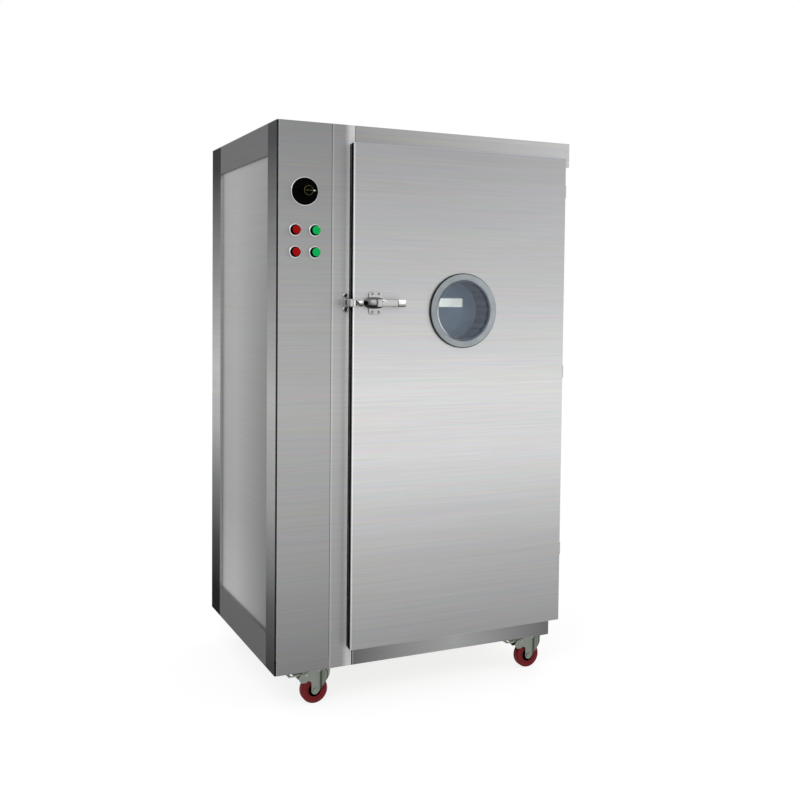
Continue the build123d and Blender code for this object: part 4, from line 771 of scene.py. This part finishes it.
# Painted highlight: white where the grip faces the front and a little up; painted reflection darker facing
# down, straight up and left
grip_highlight_chrome = plated("polished_grip_painted_highlight", [
    (0.0, "#3a3a3a"), (0.4, "#7c7c7c"), (0.475, "#b0b0b0"), (0.495, "#ffffff"), (0.8, "#ffffff"),
    (1.0, "#7c7c7c")], 0.2, 0.12, 0.2)
fit(made("latch_lever_grip", shape, grip_highlight_chrome, turn_angle=44), "latch_lever", "chrome_casting")


# Latch tongue: a turned barrel on a rod, with a diamond-shaped eye whose tip is held behind
# the keeper's roller. It slides in the latch body as the lever swings.
def diamond(half_width, half_height, side, tip):
    """The outline of a diamond with round corners, about its middle."""
    corners = ((half_width, 0, side, -50, 50), (0.0, half_height, tip, 50, 130),
               (-half_width, 0, side, 130, 230), (0.0, -half_height, tip, 230, 310))
    return [spot for corner in corners for spot in arc(*corner, 4)]


shape = bmesh.new()
barrel = (tongue_low.x, rod_y, latch_z)
turn(shape, [(-0.0625, 0.0), (-0.0625, 0.0044), (-0.0619, 0.0050), (-0.0319, 0.0050), (-0.0319, 0.0108),
             (-0.0311, 0.0116), (-0.0304, 0.0120), (-0.0266, 0.0120), (-0.0256, 0.0113), (-0.0246, 0.0117),
             (-0.0235, 0.0113), (-0.0205, 0.0086), (-0.0185, 0.0078), (-0.0179, 0.0066), (-0.0161, 0.0050),
             (-0.0150, 0.0)], barrel, leftward, 48)
eye = arc(0.0, 0.0, 0.0035, 0, 345, 15)
eye_x = tongue_low.x + 0.009
plate(shape, [diamond(0.0072, 0.0088, 0.0022, 0.0026), eye], 0.0100, 0.0012, (eye_x, rod_y, latch_z))
# Painted reflection: dark facing down, light facing up
keeper_chrome = plated("satin_chrome_keeper", [
    (0.0, "#2b2b2c"), (0.3, "#6c6c6c"), (0.47, "#bcbcbc"), (0.62, "#c9c9c9"), (1.0, "#e2e2e2")], 0.95)
fit(made("latch_tongue_rod", shape, keeper_chrome, turn_angle=40), "latch_tongue", "chrome_casting",
    "latch_tongue")
# Cheek plates of blackened steel, worn grey here and there, cover both faces of the eye and
# leave a bright rim round it
blackened = mottled("blackened_steel", 380.0, [(0.5, "#0b0b0c"), (0.85, "#2c2c2e")], 0.45, 3.0, metal=0.6)
shape = bmesh.new()
for side in (-1, 1):
    plate(shape, [diamond(0.0056, 0.0068, 0.0016, 0.0018), eye], 0.0010, 0.0003,
          (eye_x, rod_y + side * 0.0051, latch_z))
fit(made("latch_tongue_cheeks", shape, blackened, turn_angle=40), "latch_tongue", "screw_steel")
# A black sleeve covers the rod between the barrel and the latch body
shape = bmesh.new()
turn(shape, [(-0.0321, 0.0048), (-0.0321, 0.0053), (-0.0612, 0.0053), (-0.0612, 0.0048)],
     barrel, leftward, 40, closed=True)
fit(made("latch_tongue_sleeve", shape, seam_black, turn_angle=40), "latch_tongue", "black_plastic")


# Keeper on the stile: a lobed plate with a square post whose two ribs hold an upright roller.
# Two blackened screws fix it, one in each lobe.
keep_low, keep_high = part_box("latch_keeper")
keep_x = keep_low.x + 0.009
lobe_x = keep_x + 0.003
stile_face = keep_high.y
roller_radius, keeper_thick = 0.004, 0.003
roller_x = keep_high.x - roller_radius
roller_y = keep_low.y + roller_radius
lobe = 0.022
shape = bmesh.new()
plate(shape, [arc(0, lobe, 0.009, -35, 215, 20) +
              [(-0.0064, lobe - 0.0098), (-0.0062, 0.010), (-0.0062, -0.010)] +
              arc(0, -lobe, 0.009, 145, 395, 20) + [(0.0062, -0.010), (0.0062, 0.010)]],
      keeper_thick, 0.0007, (lobe_x, stile_face - keeper_thick / 2, latch_z))
for side in (-1, 1):
    turn(shape, [(0.003, 0.0058), (0.003, 0.0084), (0.0046, 0.0078), (0.0050, 0.0068), (0.0044, 0.0056)],
         (lobe_x, stile_face, latch_z + side * lobe), outward, 40, closed=True)
plate(shape, [rounded(0.010, 0.024, 0.002)], stile_face - keep_low.y, 0.0008,
      (keep_x, (stile_face + keep_low.y) / 2, latch_z))
for side in (-1, 1):
    plate(shape, [[(0.0, -0.004), (0.014, -0.004)] + arc(0.014, 0.0, 0.004, -90, 90, 8) + [(0.0, 0.004)]],
          0.003, 0.0006, (keep_x, roller_y, latch_z + side * 0.0105), Matrix.Identity(4))
fit(made("keeper_plate", shape, keeper_chrome, turn_angle=40), "cabinet", "chrome_casting", "latch_keeper")
shape = bmesh.new()
turn(shape, [(-0.0088, 0.0), (-0.0088, 0.0034), (-0.0080, 0.0040), (0.0080, 0.0040), (0.0088, 0.0034),
             (0.0088, 0.0)], (roller_x, roller_y, latch_z), (0.0, 0.0, 1.0), 32)
# Hard-polished steel: the brightest metal on the cabinet, faintly scratched round the roller
bright = mottled("polished_steel", 900.0, [(0.3, "#e2e2e1"), (0.7, "#f4f4f3")], (0.06, 0.16), metal=1.0)
fit(made("keeper_roller", shape, bright), "cabinet", "chrome_casting")
# A thin black plate on the post's left face stands for the shadow of a groove, a painted shadow
shape = bmesh.new()
side_plane = Matrix(((0, 0, 1, 0), (1, 0, 0, 0), (0, 1, 0, 0), (0, 0, 0, 1)))
plate(shape, [rounded(0.013, 0.017, 0.003)], 0.0008, 0.0003,
      (keep_x - 0.0050, stile_face - 0.0262, latch_z), side_plane)
fit(made("keeper_pocket", shape, blackened, turn_angle=40), "cabinet", "screw_steel")


# Screws: pan heads with a cross recess in the back panel, the hinges and the latch's foot, and
# slightly larger ones in the keeper. Each seat is a point that knows which way its screw faces.
def on_seats(tree, given):
    """On each seat, turned to face the way that the seat says."""
    facing = add(tree, "GeometryNodeInputNamedAttribute", {"Name": "facing"}, data_type="FLOAT_VECTOR")
    turned = add(tree, "FunctionNodeAlignRotationToVector", {"Vector": facing.outputs["Attribute"]}, axis="Z")
    return {"Points": given["Seats"], "Rotation": turned, "Scale": given["Size"]}


def pan_head(name, material):
    """One pan head with a cross recess, seated at the origin and facing up Z."""
    shape = bmesh.new()
    turn(shape, [(-0.0010, 0.0), (-0.0010, 0.0024), (0.0, 0.0024), (0.0, 0.0046), (0.0010, 0.0046),
                 (0.0019, 0.0041), (0.0024, 0.0031), (0.0026, 0.0018), (0.0026, 0.0)],
         (0.0, 0.0, 0.0), (0.0, 0.0, 1.0), 24)
    head = made(name, shape, material)
    cross = bmesh.new()
    for quarter in (0.0, 90.0):
        bmesh.ops.create_cube(cross, size=1.0, matrix=Matrix.Rotation(math.radians(quarter), 4, "Z") @
                              Matrix.Translation((0.0, 0.0, 0.0022)) @
                              Matrix.Diagonal((0.0050, 0.0010, 0.0020 + quarter * 1e-6, 1.0)))
    carved(head, made("cross_cutter", cross, material), crossed=True)
    head.data.set_sharp_from_angle(angle=math.radians(32))
    return head


def seats(name, places):
    """The points that screws sit on, each with its facing."""
    mesh = bpy.data.meshes.new(name)
    mesh.from_pydata([place for place, way in places], [], [])
    facing = mesh.attributes.new("facing", "FLOAT_VECTOR", "POINT")
    facing.data.foreach_set("vector", [part for place, way in places for part in way])
    return mesh


# Plain stainless fasteners, slightly dulled, with tool marks at 1 mm
steel_screws = mottled("stainless_screws", 1000.0, [(0.3, "#8c8c8c"), (0.7, "#a8a8a8")], 0.32, metal=1.0)
screw = pan_head("pan_head", steel_screws)
seated = copying("screws_on_seats", on_seats, Seats="Geometry", Size="Float")
wall_low, wall_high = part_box("right_side_panel")
knuckle, levels, leaf_thick, leaf_width = 0.0447, (0.374, 1.004, 1.634), 0.003, 0.055
lowest, apart = 0.224, 0.318
rightward, rearward = (1.0, 0.0, 0.0), (0.0, 1.0, 0.0)
on_back = [((x, back_high.y, lowest + i * apart), rearward)
           for x in (back_low.x + 0.010, back_high.x - 0.010) for i in range(6)]
on_side = [((wall_high.x + leaf_thick, wall_low.y + leaf_thick + leaf_width * share, z + knuckle), rightward)
           for z in levels for share in (0.4, 0.8)]
fit(grown("body_screw_heads", seated, {"Piece": screw, "Size": 1.0, "Finish": steel_screws},
          seats("body_seats", on_back + on_side)), "cabinet", "screw_steel", "body_screws")
edge_low, edge_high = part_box("hinge_door_leaves")
in_door = [((edge_low.x + leaf_thick, edge_high.y - 0.0225, z + knuckle * share), rightward)
           for z in levels for share in (1.25, 1.75)]
in_foot = [((foot_x + u, door_face - foot_thick, latch_z + v), outward) for u, v in foot_holes]
fit(grown("door_screw_heads", seated, {"Piece": screw, "Size": 1.0, "Finish": steel_screws},
          seats("door_seats", in_door + in_foot)), "door", "screw_steel", "door_screws")
fit(grown("keeper_screw_heads", seated, {"Piece": screw, "Size": 1.15, "Finish": blackened},
          seats("keeper_seats", [((lobe_x, stile_face - keeper_thick, latch_z + side * lobe), outward)
                                 for side in (-1, 1)])), "cabinet", "screw_steel")
bpy.data.objects.remove(screw)


# Timer: a black phenolic dial plate with raised marks, screwed to its case behind the sheet,
# and a fluted knob with a brass ring and a pointer.
def round_circle(tree, given):
    """Round a circle in the X-Y plane, each with its X axis outwards."""
    circle = add(tree, "GeometryNodeMeshCircle", {"Vertices": given["Count"], "Radius": given["Radius"]})
    turned = add(tree, "FunctionNodeAlignRotationToVector", {
        "Vector": add(tree, "GeometryNodeInputPosition")}, axis="X")
    return {"Points": circle, "Rotation": turned}


round_row = copying("round_a_circle", round_circle, Count="Int", Radius="Float")
dial_low, dial_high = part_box("timer_unit")
dial_proud = 0.008
dial = Vector(((dial_low.x + dial_high.x) / 2, dial_low.y + dial_proud, (dial_low.z + dial_high.z) / 2))
facing_front = Matrix.Rotation(math.radians(90), 4, "X")
# Pressed black phenolic: deep black, barely glossy
dial_black = mottled("pressed_phenolic", 120.0, [(0.3, "#010101"), (0.8, "#040404")], (0.42, 0.6), 3.0,
                     specular=0.02)
fit(softened("timer_unit", "timer_plate_and_case", dial_black, 0.0005), "cabinet", "black_plastic",
    "timer_unit")
shape = bmesh.new()
lump(shape, (-0.0030, -0.0004, 0.0), (0.0030, 0.0004, 0.0006))
mark = made("dial_mark", shape, dial_black)
marks = grown("dial_marks", round_row, {"Piece": mark, "Count": 36, "Radius": 0.0355, "Finish": dial_black})
marks.data.transform(Matrix.Translation(dial + Vector((0.0, -dial_proud, 0.0))) @ facing_front)
fit(marks, "cabinet", "black_plastic")
bpy.data.objects.remove(mark)
# Thin bright washers spun from aluminium sheet, with marks about 1 mm wide
washer_steel = mottled("spun_aluminium", 1000.0, [(0.3, "#c0c4c4"), (0.7, "#d2d5d5")], 0.3, metal=1.0)
shape = bmesh.new()
turn(shape, [(0.0, 0.0427), (0.0, 0.0456), (0.0010, 0.0456), (0.0016, 0.0450), (0.0016, 0.0427)],
     dial, outward, 96, closed=True)
fit(made("dial_washer", shape, washer_steel, turn_angle=50), "cabinet", "screw_steel")
knob = Vector((dial.x, dial.y - 0.0084, dial.z))
shape = bmesh.new()
turn(shape, [(-0.0184, 0.0), (-0.0184, 0.0038), (0.0, 0.0038), (0.0, 0.0178), (0.0022, 0.0180),
             (0.0040, 0.0168), (0.0280, 0.0150), (0.0300, 0.0146), (0.0310, 0.0136), (0.0304, 0.0122),
             (0.0296, 0.0112), (0.0296, 0.0)], knob, outward, 72)
plate(shape, [[(-0.0098, -0.0020), (0.0098, -0.0020), (0.0108, 0.0), (0.0098, 0.0020), (-0.0098, 0.0020),
               (-0.0108, 0.0)]], 0.0046, 0.0008, knob - Vector((0.0, 0.0308, 0.0)))
fit(made("timer_knob_body", shape, dial_black, turn_angle=40), "timer_knob", "black_plastic", "timer_knob")
shape = bmesh.new()
turn(shape, [(0.0, 0.0), (0.0, 0.0007), (0.022, 0.0006), (0.022, 0.0)], (0.0, 0.0, 0.0), (0.0, 0.0, 1.0), 8)
flute = made("knob_flute", shape, dial_black)
flutes = grown("knob_flutes", round_row, {
    "Piece": flute, "Count": 40, "Radius": 0.0160, "Finish": dial_black})
flutes.data.transform(Matrix.Translation(knob - Vector((0.0, 0.004, 0.0))) @ facing_front)
fit(flutes, "timer_knob", "black_plastic")
bpy.data.objects.remove(flute)
# Lacquered brass gone dull, olive in the hollows
brass = mottled("dull_brass", 160.0, [(0.3, "#3d3a22"), (0.7, "#625d3c")], 0.4, 3.0, metal=1.0)
shape = bmesh.new()
turn(shape, [(0.0302, 0.0134), (0.0312, 0.0136), (0.0316, 0.0143), (0.0312, 0.0151), (0.0296, 0.0153)],
     knob, outward, 72, closed=True)
fit(made("knob_ring", shape, brass, turn_angle=50), "timer_knob", "black_plastic")
shape = bmesh.new()
plate(shape, [[(0.0146, -0.0026), (0.0225, -0.0008), (0.0225, 0.0008), (0.0146, 0.0026)]], 0.0016, 0.0003,
      knob - Vector((0.0, 0.0302, 0.0)))
fit(made("knob_pointer", shape, washer_steel, turn_angle=40), "timer_knob", "screw_steel")
shape = bmesh.new()
plate(shape, [[(-0.0104, -0.0009), (0.0104, -0.0009), (0.0104, 0.0009), (-0.0104, 0.0009)]], 0.0010, 0.0003,
      knob - Vector((0.0, 0.0330, 0.0)))
fit(made("knob_bar_inlay", shape, brass, turn_angle=40), "timer_knob", "black_plastic")


# Push buttons: two red and two green, each a glossy cap in a black moulded bezel with a thin
# bright washer behind it, screwed through the sheet to its contact block.
bezels = bmesh.new()
washers = bmesh.new()
# Moulded glossy plastic, with flow marks of about 5 mm that only just show in the gloss
cap_plastic = {
    colour: mottled(f"glossy_{colour}_plastic", 190.0, [(0.3, deep), (0.7, pale)], (0.2, 0.32),
                    specular=0.08)
    for colour, deep, pale in (("red", "#900000", "#9a0202"), ("green", "#00a24a", "#04ae57"))}
for spot in ("red_upper", "green_upper", "red_lower", "green_lower"):
    colour = spot.split("_")[0]
    low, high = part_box(f"button_cap_{spot}")
    centre = Vector(((low.x + high.x) / 2, dial.y, (low.z + high.z) / 2))
    turn(bezels, [(0.0010, 0.0118), (0.0010, 0.0166), (0.0064, 0.0166), (0.0078, 0.0158), (0.0096, 0.0140),
                  (0.0100, 0.0131), (0.0100, 0.0122), (0.0095, 0.0118)], centre, outward, 56, closed=True)
    turn(washers, [(0.0, 0.0120), (0.0, 0.0194), (0.0006, 0.0196), (0.0012, 0.0188), (0.0012, 0.0120)],
         centre, outward, 56, closed=True)
    cap = bmesh.new()
    turn(cap, [(-0.0088, 0.0), (-0.0088, 0.0038), (0.0046, 0.0038), (0.0046, 0.0108), (0.0050, 0.0113),
               (0.0138, 0.0113), (0.0142, 0.0129), (0.0149, 0.0134), (0.0168, 0.0134), (0.0176, 0.0127),
               (0.0180, 0.0112), (0.0180, 0.0)], centre, outward, 56)
    fit(made(f"button_{spot}_cap", cap, cap_plastic[colour], turn_angle=44), f"button_{spot}",
        f"{colour}_plastic", f"button_cap_{spot}")
fit(made("button_bezels", bezels, dial_black, turn_angle=40), "cabinet", "black_plastic")
fit(made("button_washers", washers, washer_steel, turn_angle=50), "cabinet", "screw_steel")
dress(dial_black, "button_bodies")


# Casters: pressed forks of zinc-plated steel that swivel on a ball race under a bolted plate.
# Red polyurethane tyres are cast on hard black cores, and the front two have brake pedals.
def zinc_plate(name, share, metal=1.0, rolled=None):
    """Passivated zinc on pressed steel, with painted reflection bands as it turns to the right and painted
    shade underneath.
    """
    def recipe(tree, where):
        # Greenish grey, with faint clouds of 10 mm
        facing = faced(tree)
        # Painted reflection bands by how far a surface faces right, painted shade facing down
        turned = toned(tree, facing["X"], -1.0, 1.0, [
            (0.0, "#8d938b"), (0.42, "#b9c2b9"), (0.5, "#8a9087"), (0.62, "#444943"), (0.72, "#9da39b"),
            (0.8, "#71766f"), (0.92, "#b4bab1"), (1.0, "#5d6159")])
        lit = toned(tree, facing["Z"], -1.0, 1.0, [
            (0.0, "#5f5f5c"), (0.4, "#e9e9e9"), (0.6, "#f2f2f2"), (1.0, "#ffffff")])
        cloud = add(tree, "TexNoise", {"Vector": where, "Scale": 100.0, "Detail": 2.0})
        patch = add(tree, "MapRange", {"Value": cloud, "To Min": 0.92 * share, "To Max": 1.04 * share})
        both = add(tree, "VectorMath", {0: turned, 1: lit}, operation="MULTIPLY")
        if rolled:
            # Painted reflection: upright bands where the cheek is rolled round, at the same place right of
            # each axle
            place = add(tree, "SeparateXYZ", {"Vector": where})
            beyond = add(tree, "Math", {
                0: place.outputs["X"], 1: rolled[1], 2: rolled[0]}, operation="WRAP")
            painted_light_bands = toned(tree, beyond, rolled[0], rolled[0] + 0.050, [
                (0.0, "#ffffff"), (0.28, "#f4f4f4"), (0.36, "#7c7c7c"), (0.46, "#a2a2a2"), (0.56, "#f4f4f4"),
                (0.64, "#c8c8c8"), (0.74, "#ffffff"), (0.86, "#f0f0f0"), (1.0, "#ffffff")])
            both = add(tree, "VectorMath", {0: both, 1: painted_light_bands}, operation="MULTIPLY")
        colour = add(tree, "VectorMath", {0: both, "Scale": patch}, operation="SCALE")
        rough = add(tree, "MapRange", {"Value": cloud, "To Min": 0.34, "To Max": 0.46})
        return {"Base Color": colour, "Metallic": metal, "Roughness": rough}
    return finish(name, recipe)


def polyurethane(tree, where):
    # Cast polyurethane: deep red, satin, purer and darker towards the tread
    scuff = add(tree, "TexNoise", {"Vector": where, "Scale": 90.0, "Detail": 4.0})
    face = add(tree, "ValToRGB", {"Fac": scuff}, stops=[(0.3, "#63171a"), (0.7, "#742025")])
    flat = add(tree, "Math", {0: faced(tree)["Y"]}, operation="ABSOLUTE")
    tread = add(tree, "MapRange", {"Value": flat, "From Min": 0.95, "From Max": 0.6})
    tint = add(tree, "Mix", {"Factor": tread, 6: face, 7: srgb("#6a0508")}, data_type="RGBA")
    relief = add(tree, "Bump", {"Height": scuff, "Strength": 0.1, "Distance": 0.0005})
    return {"Base Color": tint.outputs[2], "Roughness": 0.5, "Normal": relief, "Specular IOR Level": 0.15}


zinc = zinc_plate("passivated_zinc", 1.0)
axles_x = [sum(end.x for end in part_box(f"caster_tyre_front_{side}")) / 2 for side in ("left", "right")]
cheek_zinc = zinc_plate("passivated_zinc_fork", 1.0, rolled=axles_x)
# Painted light: the pedal's zinc is 2.6 times as bright, against the shade under the cabinet
painted_light_zinc = zinc_plate("zinc_pedal_painted_light", 2.6, 0.1)
tyre_red = finish("cast_polyurethane", polyurethane)
trail, race_z = 0.028, 0.1170
fit(softened("caster_plates", "caster_top_plates", zinc, 0.0006), "cabinet", "zinc_steel", "caster_plates")
shape = bmesh.new()
bmesh.ops.create_icosphere(shape, subdivisions=2, radius=0.0026)
ball = made("race_ball", shape, bright, turn_angle=60)
for spot in ("front_left", "front_right", "rear_left", "rear_right"):
    low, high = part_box(f"caster_tyre_{spot}")
    axle = (low + high) / 2
    body = f"swivel_{spot}"
    fit(softened(f"caster_fork_{spot}", f"fork_{spot}", cheek_zinc, 0.0008), body, "zinc_steel",
        f"caster_fork_{spot}")
    # The ball race sits to the right of the axle, by the caster's trail
    balls = grown(f"race_balls_{spot}", round_row, {
        "Piece": ball, "Count": 22, "Radius": 0.0268, "Finish": bright})
    balls.data.transform(Matrix.Translation((axle.x + trail, axle.y, race_z)))
    fit(balls, "cabinet", "zinc_steel")
    # The axle bolt has a round head in front and a hexagon nut behind
    cheek = 0.0195
    shape = bmesh.new()
    turn(shape, [(cheek, 0.0), (cheek, 0.0078), (cheek + 0.0010, 0.0080), (cheek + 0.0026, 0.0072),
                 (cheek + 0.0034, 0.0052), (cheek + 0.0034, 0.0030), (cheek + 0.0026, 0.0022),
                 (cheek + 0.0026, 0.0)], axle, outward, 40)
    turn(shape, [(cheek, 0.0), (cheek, 0.0076), (cheek + 0.0008, 0.0080), (cheek + 0.0030, 0.0080),
                 (cheek + 0.0036, 0.0070), (cheek + 0.0036, 0.0)], axle, rearward, 6)
    fit(made(f"axle_bolt_{spot}", shape, zinc, turn_angle=30), body, "zinc_steel")
    half = 0.015
    face = [(half - 0.0030, 0.0220), (half - 0.0006, 0.0226), (half - 0.0002, 0.0262),
            (half - 0.0016, 0.0276), (half - 0.0016, 0.0300), (half - 0.0002, 0.0312),
            (half, 0.0392), (half - 0.0012, 0.0424), (half - 0.0034, 0.0442), (half - 0.0056, 0.0450)]
    shape = bmesh.new()
    turn(shape, face + [(-d, r) for d, r in reversed(face)], axle, rearward, 96, closed=True)
    fit(made(f"tyre_{spot}", shape, tyre_red, turn_angle=24), f"wheel_{spot}", "wheel_rubber",
        f"caster_tyre_{spot}")
    web = [(0.0160, 0.0054), (0.0160, 0.0100), (0.0146, 0.0118), (0.0060, 0.0128), (0.0052, 0.0138),
           (0.0052, 0.0180), (0.0064, 0.0190), (0.0112, 0.0198), (0.0120, 0.0206), (0.0120, 0.0220)]
    shape = bmesh.new()
    turn(shape, web + [(-d, r) for d, r in reversed(web)], axle, rearward, 64, closed=True)
    fit(made(f"core_{spot}", shape, dial_black, turn_angle=30), f"wheel_{spot}", "wheel_core",
        f"caster_core_{spot}")
    if spot.startswith("front"):
        fit(softened(f"caster_pedal_{spot}", f"pedal_{spot}", painted_light_zinc, 0.0007), f"pedal_{spot}",
            "zinc_steel", f"caster_pedal_{spot}")
bpy.data.objects.remove(ball)


# Studio: a pale floor that keeps the cabinet's shadow, a white surround that metal and glass
# mirror, two broad soft lamps, one small strip, and the camera at the photograph's angle.
def seen_directly(tree):
    """One for what the camera, a reflection or a pane of glass sees, zero for other light."""
    path = add(tree, "LightPath").outputs
    one = add(tree, "Math", {0: path["Is Camera Ray"], 1: path["Is Glossy Ray"]}, operation="MAXIMUM")
    return add(tree, "Math", {0: one, 1: path["Is Transmission Ray"]}, operation="MAXIMUM")


floor_glow, glow_share = 1.13, 0.72
floor_paint = bpy.data.materials.new("matt_white_floor")
tree = emptied(floor_paint)
matt = add(tree, "BsdfDiffuse", {"Color": srgb("#f4f4f4")})
glow = add(tree, "Emission", {"Color": (1.0, 1.0, 1.0, 1.0), "Strength": floor_glow})
share = add(tree, "Math", {0: seen_directly(tree), 1: glow_share}, operation="MULTIPLY")
mixed = add(tree, "MixShader", {0: share, 1: matt, 2: glow})
add(tree, "OutputMaterial", {"Surface": mixed})
shape = bmesh.new()
bmesh.ops.create_circle(shape, cap_ends=True, segments=96, radius=14.0)
made("studio_floor", shape, floor_paint)

world = bpy.data.worlds.new("white_surround")
bpy.context.scene.world = world
tree = emptied(world)
dim = add(tree, "Background", {"Color": (1.0, 1.0, 1.0, 1.0), "Strength": 0.8})
white = add(tree, "Background", {"Color": (1.0, 1.0, 1.0, 1.0), "Strength": 1.0})
mixed = add(tree, "MixShader", {0: seen_directly(tree), 1: dim, 2: white})
add(tree, "OutputWorld", {"Surface": mixed})


def lamp(name, place, aim, width, height, watts, colour="#ffffff"):
    """A rectangular soft lamp that points at a place."""
    light = bpy.data.lights.new(name, "AREA")
    light.shape, light.size, light.size_y, light.energy = "RECTANGLE", width, height, watts
    light.color = srgb(colour)[:3]
    stand = bpy.data.objects.new(name, light)
    bpy.context.scene.collection.objects.link(stand)
    stand.location = place
    stand.rotation_euler = (Vector(aim) - Vector(place)).to_track_quat("-Z", "Y").to_euler()


lamp("key_lamp", (-2.6, -3.2, 3.6), (0.0, -0.2, 0.9), 2.0, 2.0, 45.0)
lamp("fill_lamp", (3.2, -2.6, 2.6), (0.0, -0.2, 0.9), 2.0, 2.0, 8.0)
# A small bright strip whose mirror image shows in the porthole's glass
lamp("strip_lamp", (1.467, -3.097, 1.292), (0.080, -0.408, 1.306), 0.156, 0.054, 0.17, "#fffdea")

camera_data = bpy.data.cameras.new("camera")
camera_data.lens, camera_data.sensor_width, camera_data.shift_y = 45.274, 36.0, -0.075
camera = bpy.data.objects.new("camera", camera_data)
bpy.context.scene.collection.objects.link(camera)
camera_at, heading, downward, roll = (-1.5118, -3.3711, 1.3309), -24.962, 2.499, 0.57
camera.matrix_world = (Matrix.Translation(camera_at) @
                       Matrix.Rotation(math.radians(heading), 4, "Z") @
                       Matrix.Rotation(math.radians(90 - downward), 4, "X") @
                       Matrix.Rotation(math.radians(roll), 4, "Z"))
bpy.context.scene.camera = camera
bpy.context.scene.view_settings.view_transform = "Standard"
